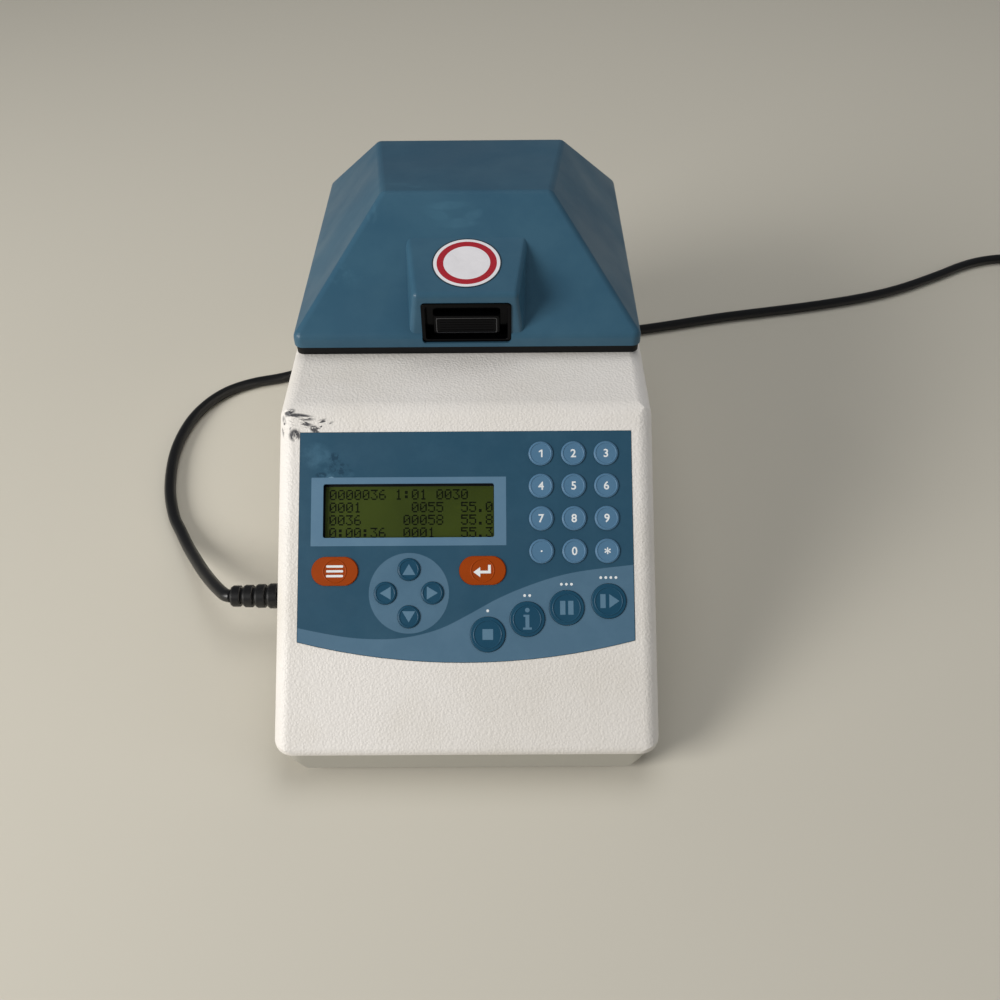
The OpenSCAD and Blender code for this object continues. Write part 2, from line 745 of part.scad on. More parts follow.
// The latch: a lever with a ridged pad that the finger presses, and a hook at its foot.
module latch_lever() color(black) difference() {
    face = lever_y - lever_t / 2;
    union() {
        across(lever_w) union() {
            translate([lever_y, latch_z]) circle(lever_knuckle);
            translate([face, hook_low]) square([lever_t, latch_z - hook_low]);
            polygon([[face, hook_low], [face, hook_low + 4], [face - hook_nose, hook_low + 3.4],
                     [face - hook_nose, hook_low + 2.4]]);
        }
        translate([-pad_w / 2, boss_front + 2.8, pad_low]) cube([pad_w, 2.6, pad_high - pad_low]);
        translate([-lever_w / 2, boss_front + 2.8, pad_low + 2])
            cube([lever_w, lever_y - boss_front - 2.8, 6]);
        for (i = [0:3]) translate([-pad_w / 2 + 2, boss_front + 2.3, pad_low + 1.7 + i * 2])
            cube([pad_w - 4, 0.6, 0.8]);
    }
    translate([0, lever_y, latch_z]) rotate([0, 90, 0])
        cylinder(r = latch_pin_r + run_gap, h = lever_w * 2, center = true);
}

// Torsion spring: a close-wound sleeve round the pin beside the lever, with one leg.
module latch_spring() color(metal) {
    inner = latch_pin_r + seat;
    pitch = 2 * spring_wire;
    turns = floor((ear_x - ear_w / 2 - lever_w / 2 - 2 * seat) / pitch);
    low = inner + spring_wire;
    ridges = [for (i = [0:turns - 1]) each [[low, i * pitch], [inner + pitch, (i + 0.5) * pitch]]];
    translate([lever_w / 2 + seat, lever_y, latch_z]) rotate([0, 90, 0]) rotate_extrude()
        polygon(concat([[inner, 0]], ridges, [[low, turns * pitch], [inner, turns * pitch]]));
    translate([lever_w / 2 + seat + spring_wire, lever_y + inner + spring_wire, latch_z - 7])
        cylinder(r = spring_wire, h = 6);
}

/* Lid */

// The point where three planes meet, each given by a normal and a distance.
function meet(n1, d1, n2, d2, n3, d3) =
    (d1 * cross(n2, n3) + d2 * cross(n3, n1) + d3 * cross(n1, n2)) / (n1 * cross(n2, n3));

front_n = [0, -sin(lid_front_a), cos(lid_front_a)];
back_n = [0, sin(lid_back_a), cos(lid_back_a)];
top_n = [0, sin(lid_top_a), cos(lid_top_a)];
front_edge = [0, lid_front, flange_z];
back_edge = [0, lid_back, flange_z];
top_edge = [0, lid_front + lid_rise / tan(lid_front_a), flange_z + lid_rise];
side_edge = [lid_w / 2, 0, flange_z];

// A corner of the lid's top, moved in from the lid's faces by t.
function lid_corner(side, at_back, t) =
    let (side_n = [side * sin(lid_side_a), 0, cos(lid_side_a)],
         edge = [side * side_edge.x, 0, flange_z],
         end_n = at_back ? back_n : front_n,
         end_edge = at_back ? back_edge : front_edge)
    meet(side_n, side_n * edge - t, end_n, end_n * end_edge - t, top_n, top_n * top_edge - t);

// The lid's hipped form: t is how far its faces stand inside the outer ones. The flange turns
// into the slopes in a round edge.
module lid_form(t, low) hull() {
    edge_z = flange_z - lid_r * (1 - sin(lid_front_a)) / cos(lid_front_a);
    for (s = [-1, 1]) {
        for (at_back = [false, true]) translate(lid_corner(s, at_back, lid_r)) sphere(lid_r - t, $fn = 28);
        for (y = [lid_front + lid_r, lid_back - lid_r]) translate([s * (lid_w / 2 - lid_r), y, low]) {
            cylinder(r = lid_r - t, h = edge_z - low, $fn = 28);
            translate([0, 0, edge_z - low]) rotate_extrude($fn = 28) intersection() {
                circle(lid_r - t, $fn = 28);
                square(lid_r);
            }
        }
    }
}

// The raised housing of the latch on the lid's front slope.
module boss_form(t) hull() {
    r = 3;
    for (s = [-1, 1]) {
        translate([s * (boss_w / 2 - r), boss_front + r, boss_top_z - r]) sphere(r - t, $fn = 24);
        translate([s * (boss_w / 2 + 4.5 - r), boss_back, boss_back_z - r]) sphere(r - t, $fn = 24);
        translate([s * (boss_w / 2 + 3 - r), boss_front + r, shell_z + fine])
            cylinder(r = r - t, h = 1, $fn = 24);
        translate([s * (boss_w / 2 + 7 - r), boss_back, shell_z + fine])
            cylinder(r = r - t, h = 1, $fn = 24);
    }
}

// Room in the shell for a hinge: round the pin, and open below it.
module hinge_notch() {
    w = knuckle_w + 2 * lug_w + 6 * seat;
    for (s = [-1, 1]) translate([s * hinge_x, hinge_y, 0]) across(w) {
        translate([0, hinge_z]) circle(hinge_room);
        translate([-hinge_room, shell_z - cut]) square([20, hinge_z - shell_z + cut]);
    }
}

module lid_shell() color(lid_blue) difference() {
    union() {
        lid_form(0, shell_z);
        boss_form(0);
    }
    lid_form(lid_wall, shell_z - cut);
    difference() {
        boss_form(2);
        translate([-50, boss_front + 16, 0]) cube([100, 100, 300]);
    }
    translate([0, lid_front - cut, (window_low + window_high) / 2]) rotate([-90, 0, 0])
        linear_extrude(boss_front - lid_front + 14) rounded_box(window_w, window_high - window_low, 1.8);
    hinge_notch();
}

// Black frame under the shell: a band round the edge, a floor, and the hinge knuckles.
module lid_frame() color(black) difference() {
    union() {
        translate([0, lid_mid, lid_z]) difference() {
            plate(lid_w - 1.6, lid_d - 1.6, band_h, lid_r - 0.8);
            translate([0, 0, -cut]) plate(lid_w - 14, lid_d - 14, band_h + cut - 2, 3);
            translate([0, 0, -cut]) plate(plate_w + 1, plate_l + 1, band_h + 2 * cut, 2.4);
        }
        for (s = [-1, 1]) translate([s * hinge_x, 0, 0]) across(knuckle_w) union() {
            translate([hinge_y, hinge_z]) circle(knuckle_r);
            polygon([[hinge_y - knuckle_r, lid_z + 3], [hinge_y - knuckle_r, hinge_z], [hinge_y, hinge_z],
                     [hinge_y, lid_z + 3]]);
            polygon([[hinge_y - 16, lid_z + band_h - 1], [hinge_y - knuckle_r + 1, lid_z + band_h - 1],
                     [hinge_y - knuckle_r + 1, hinge_z]]);
        }
    }
    // Chamfer that lets the back edge turn past the deck
    translate([0, lid_back - 0.8, lid_z]) rotate([45, 0, 0]) cube([lid_w + 10, 3, 3], center = true);
    // Room for the hinge lugs
    for (s = [-1, 1], e = [-1, 1])
        translate([s * hinge_x + e * (knuckle_w + lug_w + 2 * seat) / 2, hinge_y, 0])
            across(lug_w + 2 * seat) {
                translate([0, hinge_z]) circle(hinge_room);
                translate([-hinge_room, lid_z - cut]) square([20, hinge_z - lid_z + cut]);
            }
    translate([0, hinge_y, hinge_z]) rotate([0, 90, 0])
        cylinder(r = pin_r + run_gap, h = lid_w, center = true);
    // Slot for the latch hook
    translate([0, lever_y + hook_shift, lid_z - cut]) plate(lever_w + 3, hook_room - 2, band_h + 2 * cut, 1);
}

module heated_plate() color("#c6c9cc") translate([0, lid_mid, lid_z + band_h - 1.6]) difference() {
    plate(plate_w, plate_l, plate_t, 2);
    for (x = [-1, 1], y = [-1, 1]) translate([x * (plate_w / 2 - 5), y * (plate_l / 2 - 5), -cut])
        cylinder(r1 = 3.2 + cut, r2 = 1.6, h = 1.6 + cut);
}

module plate_carrier() color("#d8c9a0") translate([0, lid_mid, lid_z + band_h - 1.6 + plate_t]) {
    plate(plate_w + 18, plate_l + 18, 3, 3);
    for (x = [-1, 1], y = [-1, 1])
        translate([x * (plate_w / 2 + 4.5), y * (plate_l / 2 + 4.5), 1.6 - plate_t])
            cylinder(r = 3, h = plate_t - 1.6 + fine);
}

/* Mains switch */

module at_switch() {
    translate([switch_x, back_y, switch_z]) rotate([-90, 0, 0]) children();
}

module switch_bezel() color(black) at_switch() difference() {
    union() {
        plate(switch_w + 5, switch_h + 6, 1.6, 1.5);
        translate([0, 0, -20]) plate(switch_w + 1.6, switch_h + 1.6, 20 + fine, 0.8);
    }
    translate([0, 0, -15]) plate(switch_w - 0.6, switch_h - 0.6, 30, 0.5);
}

// The rocker: a drum with a shallow V on its face, which turns on an axis inside the bezel.
module rocker() color("#2b2b2e") at_switch() translate([0, 0, rocker_axis]) rotate([90, 0, 90])
    linear_extrude(switch_w - 1.2, center = true) rotate(rocker_tilt) {
        intersection() {
            circle(rocker_r);
            translate([-rocker_r, -rocker_r]) square([2 * rocker_r, rocker_r + 2]);
        }
        polygon([[-rocker_tip.x, 0], [rocker_tip.x, 0], rocker_tip, [0, rocker_tip.y - 1.4],
                 [-rocker_tip.x, rocker_tip.y]]);
    }

/* Lead */

module cord_boot() color(black) translate([-body_w / 2, boot_y, boot_z]) rotate([0, -90, 0]) {
    pitch = (boot_len - 2) / segments;
    cylinder(r = collar_r, h = 2);
    for (i = [0:segments - 1]) translate([0, 0, 2 + i * pitch]) {
        r = 6.4 - 0.3 * i;
        cylinder(r = r - 1.4, h = pitch);
        translate([0, 0, pitch * 0.22]) rotate_extrude() polygon(
            [[0, 0], [r - 0.4, 0], [r, 0.4], [r, pitch * 0.62], [r - 0.6, pitch * 0.78], [0, pitch * 0.78]]);
    }
    translate([0, 0, -wall - 1]) cylinder(r = boot_r - 0.1, h = wall + 1 + fine);
}

// A point on the smooth curve that passes through p1 and p2, between its neighbours p0 and p3.
function spline(p0, p1, p2, p3, t) =
    0.5 * ((2 * p1) + (p2 - p0) * t + (2 * p0 - 5 * p1 + 4 * p2 - p3) * t * t
    + (3 * p1 - p0 - 3 * p2 + p3) * t * t * t);
function route_point(i) = route[max(0, min(len(route) - 1, i))];
steps = 2;
cord_line = [for (i = [0:len(route) - 2], k = [0:steps - 1])
    spline(route_point(i - 1), route_point(i), route_point(i + 1), route_point(i + 2), k / steps),
    route[len(route) - 1]];

// One closed tube that follows a line of points, with n sides.
module tube(line, r, n) {
    m = len(line);
    rings = [for (i = [0:m - 1]) let (
        ahead = unit(line[min(m - 1, i + 1)] - line[max(0, i - 1)]),
        side = unit(cross(ahead, [0, 0, 1])),
        up = cross(side, ahead))
        [for (k = [0:n - 1]) line[i] + r * (cos(360 * k / n) * side + sin(360 * k / n) * up)]];
    points = [for (ring = rings) each ring];
    faces = concat(
        [[for (k = [0:n - 1]) k]],
        [[for (k = [0:n - 1]) (m - 1) * n + n - 1 - k]],
        [for (i = [0:m - 2], k = [0:n - 1]) let (q = (k + 1) % n)
            each [[i * n + k, (i + 1) * n + k, (i + 1) * n + q], [i * n + k, (i + 1) * n + q, i * n + q]]]);
    polyhedron(points, faces);
}

module lead_cord() color(black) tube(cord_line, cord_d / 2, 8);

// The wound part of the lead as one ring, with the straight end that leads to the plug.
module lead_coil() color(black) {
    translate([coil_at.x, coil_at.y, 0]) rotate_extrude()
        translate([coil_d / 2, coil_high / 2]) rounded_box(coil_across, coil_high, cord_d / 2 - fine);
    translate([tail_x, coil_at.y, plug_t / 2]) rotate([90, 0, 0]) cylinder(d = cord_d, h = tail_len);
}

module plug_body() color(black) translate([plug_at.x, plug_at.y, 0]) rotate([0, 0, -90]) {
    translate([-plug_len / 2, 0, plug_t / 2]) rotate([0, 90, 0])
        linear_extrude(plug_len) rounded_box(plug_t, plug_w, 5);
    translate([-plug_len / 2 - plug_relief, 0, plug_t / 2]) rotate([0, 90, 0])
        cylinder(r1 = cord_d / 2 + 0.8, r2 = 6, h = plug_relief + fine);
}

module plug_pins() color("#c9a860") translate([plug_at.x, plug_at.y, plug_t / 2]) rotate([0, 0, -90]) {
    for (s = [-1, 1]) translate([plug_len / 2, s * 6.35 - 0.75, -2]) cube([17, 1.5, 6.3]);
    translate([plug_len / 2, 0, -4.4]) rotate([0, 90, 0]) cylinder(d = 4.8, h = 18);
}

base_tray();
feet();
case_screws();
top_housing();
switch_layer();
key_overlay();
lcd_window();
lcd_module();
main_board();
power_supply();
block_surround();
block_gasket();
sample_block();
peltier_modules();
heat_sink();
fan_frame();
fan_impeller();
fan_guard();
hinge_lugs();
hinge_pins();
latch_keeper();
switch_bezel();
rocker();
cord_boot();
lead_cord();
lead_coil();
plug_body();
plug_pins();
lid_shell();
lid_frame();
heated_plate();
plate_carrier();
latch_bezel();
latch_lever();
latch_pin();
latch_spring();
num_key(1, 3);  // key_0
num_key(0, 0);  // key_1
num_key(1, 0);  // key_2
num_key(2, 0);  // key_3
num_key(0, 1);  // key_4
num_key(1, 1);  // key_5
num_key(2, 1);  // key_6
num_key(0, 2);  // key_7
num_key(1, 2);  // key_8
num_key(2, 2);  // key_9
num_key(0, 3);  // key_point
num_key(2, 3);  // key_star
wide_key(menu_x);  // key_menu
wide_key(enter_x);  // key_enter
arrow_key(90);  // key_up
arrow_key(270);  // key_down
arrow_key(180);  // key_left
arrow_key(0);  // key_right
run_key(0);  // key_stop
run_key(1);  // key_info
run_key(2);  // key_pause
run_key(3);  // key_continue
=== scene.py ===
# %% [markdown]
# # A bench thermal cycler
# The instrument is a white moulded housing with a sloped keypad, a blue lid on a rear hinge,
# and a black mains lead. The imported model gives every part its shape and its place. This script
# gives each part its finish. What the solids leave out is added as pieces of its own: the wound
# lead, the printed zones, the signs, the display's dots, the latch's rim and a round sticker.
# All sizes below are written in millimetres and scaled to metres when a mesh is finished.

# %% Load the frame
import math

import bmesh
import bpy
from mathutils import Matrix, Vector


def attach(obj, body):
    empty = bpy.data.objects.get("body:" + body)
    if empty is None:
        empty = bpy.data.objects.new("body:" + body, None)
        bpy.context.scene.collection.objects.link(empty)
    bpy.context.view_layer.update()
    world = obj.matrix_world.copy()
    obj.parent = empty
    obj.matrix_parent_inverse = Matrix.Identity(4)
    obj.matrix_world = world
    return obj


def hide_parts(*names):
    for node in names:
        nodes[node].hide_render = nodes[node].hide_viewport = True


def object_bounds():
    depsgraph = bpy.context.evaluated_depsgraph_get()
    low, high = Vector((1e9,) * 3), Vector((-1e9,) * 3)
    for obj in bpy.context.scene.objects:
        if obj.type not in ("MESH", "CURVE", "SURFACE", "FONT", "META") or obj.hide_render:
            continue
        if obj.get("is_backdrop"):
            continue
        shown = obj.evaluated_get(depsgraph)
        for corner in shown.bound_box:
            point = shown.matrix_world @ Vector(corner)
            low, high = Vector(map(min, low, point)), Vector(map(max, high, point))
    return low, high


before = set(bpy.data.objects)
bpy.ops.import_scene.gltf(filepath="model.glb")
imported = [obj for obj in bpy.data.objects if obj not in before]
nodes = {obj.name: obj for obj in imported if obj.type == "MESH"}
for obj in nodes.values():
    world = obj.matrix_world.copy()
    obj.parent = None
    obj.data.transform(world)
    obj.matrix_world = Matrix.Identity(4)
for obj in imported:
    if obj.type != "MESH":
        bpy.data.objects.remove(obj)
cad_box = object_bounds()
MM = 0.001  # one millimetre in metres
print("nodes in the frame:", len(nodes))

# %% [markdown]
# ## Camera
# The photograph looks down at the instrument from in front, about 44 degrees below the level.
# The camera's place was solved from the edges of the body and of the keypad, so the render
# lines up with the photograph. It is turned by a matrix that is built from its three axes. Its
# focal length equals the width of its sensor, so the view is as wide as it is far away.

# %% Camera
camera_place = Vector((16.75, -394.25, 393.8))
yaw, down, roll = [math.radians(a) for a in (-0.293, 43.845, -0.56)]
forward = Vector((math.sin(yaw) * math.cos(down), math.cos(yaw) * math.cos(down), -math.sin(down)))
level = Vector((math.cos(yaw), -math.sin(yaw), 0))
above = level.cross(forward)
right = math.cos(roll) * level + math.sin(roll) * above
upward = math.cos(roll) * above - math.sin(roll) * level

camera_data = bpy.data.cameras.new("camera")
camera_data.lens = 36
camera_data.sensor_width = 36
camera_data.clip_start = 0.01
camera = bpy.data.objects.new("camera", camera_data)
turned = Matrix((right, upward, -forward)).transposed().to_4x4()
camera.matrix_world = Matrix.Translation(camera_place * MM) @ turned
bpy.context.scene.collection.objects.link(camera)
bpy.context.scene.camera = camera
print("camera at", [round(v * MM, 3) for v in camera_place])

# %% [markdown]
# ## Helpers
# Every finish is built from noise on Object coordinates, so that it needs no picture and keeps
# its scale on each part. The first helpers make a material, add a fine relief, and let a shade
# or a roughness change slowly over the part.

# %% Helpers for finishes
def linear(code):
    """A colour from its screen code, with the screen's curve undone, as shaders take it."""
    parts = [int(code[i:i + 2], 16) / 255 for i in (1, 3, 5)]
    return (*[c / 12.92 if c <= 0.04045 else ((c + 0.055) / 1.055) ** 2.4 for c in parts], 1)


def finish_named(name, colour, roughness, metallic=0.0, specular=0.5):
    """A new material with its constants set, its node tree and its Principled shader."""
    material = bpy.data.materials.new(name)
    material.use_nodes = True
    shader = material.node_tree.nodes["Principled BSDF"]
    shader.inputs["Base Color"].default_value = linear(colour)
    shader.inputs["Roughness"].default_value = roughness
    shader.inputs["Metallic"].default_value = metallic
    shader.inputs["Specular IOR Level"].default_value = specular
    return material, material.node_tree, shader


def add(tree, kind, **values):
    """A new node with its properties set."""
    node = tree.nodes.new(kind)
    for name, value in values.items():
        setattr(node, name, value)
    return node


def noise(tree, scale, detail=2.0, rough=0.5, stretch=(1, 1, 1)):
    """Noise in the object's own space: scale is features per metre."""
    place = add(tree, "ShaderNodeTexCoord")
    turn = add(tree, "ShaderNodeMapping")
    turn.inputs["Scale"].default_value = stretch
    pattern = add(tree, "ShaderNodeTexNoise")
    pattern.inputs["Scale"].default_value = scale
    pattern.inputs["Detail"].default_value = detail
    pattern.inputs["Roughness"].default_value = rough
    tree.links.new(place.outputs["Object"], turn.inputs["Vector"])
    tree.links.new(turn.outputs["Vector"], pattern.inputs["Vector"])
    return pattern.outputs["Fac"]


def relief(tree, shader, height, distance, strength=1.0):
    """A bump from a height pattern: distance is in metres."""
    bump = add(tree, "ShaderNodeBump")
    bump.inputs["Distance"].default_value = distance
    bump.inputs["Strength"].default_value = strength
    tree.links.new(height, bump.inputs["Height"])
    tree.links.new(bump.outputs["Normal"], shader.inputs["Normal"])


def spread(tree, value, low, high, from_low=0.35, from_high=0.65):
    """Maps a pattern's middle range onto low..high."""
    ramp = add(tree, "ShaderNodeMapRange")
    ramp.inputs["From Min"].default_value = from_low
    ramp.inputs["From Max"].default_value = from_high
    ramp.inputs["To Min"].default_value = low
    ramp.inputs["To Max"].default_value = high
    tree.links.new(value, ramp.inputs["Value"])
    return ramp.outputs["Result"]


def shade(tree, shader, factor, one, two):
    """Mixes the base colour between two codes."""
    mix = add(tree, "ShaderNodeMix", data_type="RGBA")
    mix.inputs["A"].default_value = linear(one)
    mix.inputs["B"].default_value = linear(two)
    tree.links.new(factor, mix.inputs["Factor"])
    tree.links.new(mix.outputs["Result"], shader.inputs["Base Color"])
    return mix


def uneven(tree, shader, scale, low, high, detail=4):
    """Lets the roughness change slowly between two values."""
    tree.links.new(spread(tree, noise(tree, scale, detail), low, high), shader.inputs["Roughness"])


def plain(name, colour, roughness, grain=900, depth=0.00002, metallic=0.0, specular=0.5,
          mottle=0.06):
    """A finish with a fine grain, and a roughness that varies slowly over the part."""
    material, tree, shader = finish_named(name, colour, roughness, metallic, specular)
    relief(tree, shader, noise(tree, grain, 3), depth)
    uneven(tree, shader, 45, roughness - mottle, roughness + mottle)
    return material


def dress(name, material):
    """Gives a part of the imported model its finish."""
    nodes[name].data.materials.clear()
    nodes[name].data.materials.append(material)


# %% [markdown]
# The next helpers make meshes. A filled flat curve makes a thin plate with its holes in one
# step, and it is made a mesh before it is placed. A plate has a real edge, which stays sharp at
# any distance, so all that is printed on this instrument is made that way. A sheet of ink is
# 0.03 mm thick, which is thinner than anything that the eye can see from the side.

# %% Helpers for pieces
SEAM = 0.0005  # vertices nearer than this are one
INK = 0.03


def from_curve(data):
    """The mesh that a flat curve or a text makes, in a bmesh with its seams merged."""
    drawn = bpy.data.objects.new("drawn", data)
    bpy.context.scene.collection.objects.link(drawn)
    ready = drawn.evaluated_get(bpy.context.evaluated_depsgraph_get())
    mesh = bpy.data.meshes.new_from_object(ready)
    bm = bmesh.new()
    bm.from_mesh(mesh)
    bpy.data.objects.remove(drawn)
    bpy.data.meshes.remove(mesh)
    bmesh.ops.remove_doubles(bm, verts=bm.verts, dist=SEAM)
    bmesh.ops.recalc_face_normals(bm, faces=bm.faces)
    return bm


def plate_of(outlines, thick):
    """A plate cut to closed outlines: the first is its edge, the others are holes."""
    data = bpy.data.curves.new("outline", "CURVE")
    data.dimensions = "2D"
    data.fill_mode = "BOTH"
    data.extrude = thick / 2
    for outline in outlines:
        spline = data.splines.new("POLY")
        spline.points.add(len(outline) - 1)
        for point, place in zip(spline.points, outline):
            point.co = (place[0], place[1], 0, 1)
        spline.use_cyclic_u = True
    return from_curve(data)


def words_of(text, size, thick, bolder):
    """A plate in the shape of a short text, in the built-in letters made a little bolder."""
    data = bpy.data.curves.new("sign", "FONT")
    data.body = text
    data.size = size
    data.extrude = thick / 2
    data.offset = bolder
    data.align_x = data.align_y = "CENTER"
    data.resolution_u = 5
    return from_curve(data)


def piece(name, bm, material, body, slot_name, *replaced, smooth=True):
    """Turns a bmesh in millimetres into a finished piece that rides on a body."""
    bmesh.ops.scale(bm, vec=(MM, MM, MM), verts=bm.verts)
    mesh = bpy.data.meshes.new(name)
    bm.to_mesh(mesh)
    bm.free()
    for face in mesh.polygons:
        face.use_smooth = smooth
    mesh.materials.append(material)
    made = bpy.data.objects.new(name, mesh)
    bpy.context.scene.collection.objects.link(made)
    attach(made, body)
    if replaced:
        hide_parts(*replaced)
    return made


def circle(x, y, radius, count=64):
    """Points round a circle."""
    angles = [math.tau * i / count for i in range(count)]
    return [(x + radius * math.cos(a), y + radius * math.sin(a)) for a in angles]


def rounded(x0, y0, x1, y1, radius, count=6):
    """Points round a box with round corners."""
    points = []
    for i, (x, y) in enumerate(((x1, y1), (x0, y1), (x0, y0), (x1, y0))):
        cx = x - radius if x == x1 else x + radius
        cy = y - radius if y == y1 else y + radius
        angles = [math.radians(90 * i + 90 * k / count) for k in range(count + 1)]
        points += [(cx + radius * math.cos(a), cy + radius * math.sin(a)) for a in angles]
    return points


# %% [markdown]
# ## Lead
# The lead is one flexible cord of 6.4 mm. It leaves the left side through a ribbed boot, drops
# to the bench, runs behind the instrument and leaves the picture on the right. The rest is
# wound into a neat coil there, in two layers, and ends in the plug.
# A line through many points follows the same route as the solid does.
# A round bevel gives it its thickness, and the tube is then made a mesh.

# %% Route of the lead
CORD_D = 6.4
route = [
    (-115.5, -76, 24.5), (-120, -73.5, 23), (-128, -63.5, 19), (-136.5, -51, 14),
    (-144.5, -38, 9.5), (-152, -25.5, 6), (-159.5, -12, 4), (-167, 2, 3.2), (-174.5, 25, 3.2),
    (-178.5, 54, 3.2),
    (-176.5, 80, 3.2), (-170, 99, 3.2), (-159, 113.5, 3.2), (-144, 122.5, 3.2), (-126, 128, 3.2),
    (-111, 135.5, 3.2), (-99, 148, 3.2), (-86, 160, 3.2), (-70, 167, 3.2), (-45, 170, 3.2),
    (0, 171.5, 3.2), (45, 173, 3.2), (85, 175.5, 3.2), (118, 181.5, 3.2), (166, 193.5, 3.2),
    (200, 200.5, 3.2), (236, 208, 3.2), (272, 217.5, 3.2), (302, 229, 3.2), (333, 245.5, 3.2),
    (356, 259, 3.2), (374, 266.5, 3.2), (394, 270, 3.2), (420, 270.5, 3.2), (448, 270.5, 3.2),
]


def curve_through(points, steps):
    """Points on a smooth curve that passes through all the given ones."""
    points = [Vector(p) for p in points]
    line = []
    for i in range(len(points) - 1):
        p0, p1 = points[max(0, i - 1)], points[i]
        p2, p3 = points[i + 1], points[min(len(points) - 1, i + 2)]
        for k in range(steps):
            t = k / steps
            line.append(0.5 * (2 * p1 + (p2 - p0) * t + (2 * p0 - 5 * p1 + 4 * p2 - p3) * t * t
                               + (3 * p1 - p0 - 3 * p2 + p3) * t ** 3))
    return line + [points[-1]]


line = curve_through(route, 6)
print("the open run has", len(line), "points")

# %% [markdown]
# The coil lies in two layers. Two and two thirds turns lie on the bench from the outside in,
# each a diameter inside the last. Then the cord rolls up onto them and winds outwards again,
# in the grooves between the turns below. All the turns step sideways in the last sixth of the
# circle, where the upper ones ride over the lower ones in a low hump. The layer changes in the
# sixth before it.

# %% Coil and tail
coil_x, coil_y, outer_r = 448, 228.1, 42.4
low_z, middle_r = CORD_D / 2, outer_r - CORD_D
ROLL_STARTS, NEXT_STARTS, A_SIXTH, A_TRIFLE = 2 + 2 / 3, 3 + 2 / 3, 1 / 6, 1e-9


def rolled(degrees):
    """Radius and height of the cord as it rolls over the turn below it."""
    a = math.radians(degrees)
    return middle_r - CORD_D * math.cos(a), low_z + CORD_D * math.sin(a)


def coil_place(turn):
    """Radius and height of the cord after that many turns."""
    whole = int(turn + A_TRIFLE)
    step = max(0, (turn - whole) * 6 - 5)
    climb = min(1, max(0, (turn - whole) * 6 - 4))
    hump = low_z + math.sqrt(CORD_D ** 2 - (CORD_D * (step - 0.5)) ** 2)
    if turn < ROLL_STARTS:
        return outer_r - CORD_D * (whole + step), low_z
    if turn < ROLL_STARTS + A_SIXTH:
        return rolled(60 * climb)
    if turn < NEXT_STARTS:
        return outer_r - 1.5 * CORD_D, hump
    if turn < NEXT_STARTS + A_SIXTH:
        return rolled(60 + 60 * climb)
    return outer_r - 0.5 * CORD_D, hump


turns, per_turn = 4.25, 48
for i in range(1, int(turns * per_turn) + 1):
    radius, height = coil_place(i / per_turn)
    angle = math.radians(90) - math.tau * i / per_turn
    line.append(Vector((coil_x + radius * math.cos(angle), coil_y + radius * math.sin(angle),
                        height)))
tail_length, tail_steps, tail_z = 40, 6, 9.1
for k in range(1, tail_steps + 1):
    line.append(Vector((coil_x + outer_r - 0.5 * CORD_D, coil_y - tail_length * k / tail_steps,
                        tail_z)))

# %% [markdown]
# The lead's solids are the tube, the ring that stands for the coil, and the plug. The tube
# replaces the first two. The boot and the plug keep their own solids and take the cord's finish.

cord_skin = plain("cord_skin", "#101011", 0.36, grain=1500, depth=0.00001)
lead_data = bpy.data.curves.new("lead_line", "CURVE")
lead_data.dimensions = "3D"
lead_data.bevel_depth = CORD_D / 2
lead_data.bevel_resolution = 6
lead_data.use_fill_caps = True
spline = lead_data.splines.new("POLY")
spline.points.add(len(line) - 1)
for point, place in zip(spline.points, line):
    point.co = (*place, 1)
lead = piece("lead", from_curve(lead_data), cord_skin, "base", "cord", "lead_cord", "lead_coil")
dress("cord_boot", cord_skin)
dress("plug_body", cord_skin)

# %% [markdown]
# ## Floor and light
# A plain pale floor carries the shadow. In the photograph one large window lights the
# instrument from the left, low and from in front: the latch housing's shadow on the lid gives
# its direction. One big soft lamp stands there, and an even pale sky fills the rest. A wide
# lamp overhead lifts the level faces, and a weak one fills the right side, as white walls do.
# Neither gives highlights, because a wall or a ceiling gives none.

# %% Floor
FLOOR_HALF = 6  # metres
floor_mesh = bmesh.new()
bmesh.ops.create_grid(floor_mesh, x_segments=1, y_segments=1, size=FLOOR_HALF)
floor_data = bpy.data.meshes.new("floor")
floor_mesh.to_mesh(floor_data)
floor_mesh.free()
floor = bpy.data.objects.new("floor", floor_data)
bpy.context.scene.collection.objects.link(floor)
floor_data.materials.append(finish_named("pale_floor", "#c9c4b7", 0.75, specular=0.2)[0])
floor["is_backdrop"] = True

# %% Lamps and sky
world = bpy.data.worlds.new("sky")
bpy.context.scene.world = world
world.use_nodes = True
sky = world.node_tree.nodes["Background"]
sky.inputs["Color"].default_value = (0.93, 0.96, 1.0, 1)
sky.inputs["Strength"].default_value = 0.14
AIM = Vector((0, 0, 0.08))  # the instrument's middle, in metres


def soft_lamp(name, toward, distance, size, power, colour=(1, 1, 1)):
    """A square lamp: its direction, its distance and size in metres, its power in watts."""
    data = bpy.data.lights.new(name, "AREA")
    data.size = size
    data.energy = power
    data.color = colour
    lamp = bpy.data.objects.new(name, data)
    away = Vector(toward).normalized()
    facing = away.to_track_quat("Z", "Y").to_matrix().to_4x4()
    lamp.matrix_world = Matrix.Translation(AIM + away * distance) @ facing
    bpy.context.scene.collection.objects.link(lamp)
    return lamp


soft_lamp("window", (-0.79, -0.48, 0.40), distance=1.7, size=0.75, power=30, colour=(1, 0.98, 0.95))
ceiling = soft_lamp("ceiling", (0.1, 0.35, 1.0), distance=1.8, size=1.4, power=11.6)
fill = soft_lamp("fill", (0.93, -0.2, 0.3), distance=1.9, size=1.2, power=6)
ceiling.visible_glossy = fill.visible_glossy = False

bpy.context.scene.view_settings.view_transform = "Standard"
print("sky strength", sky.inputs["Strength"].default_value)

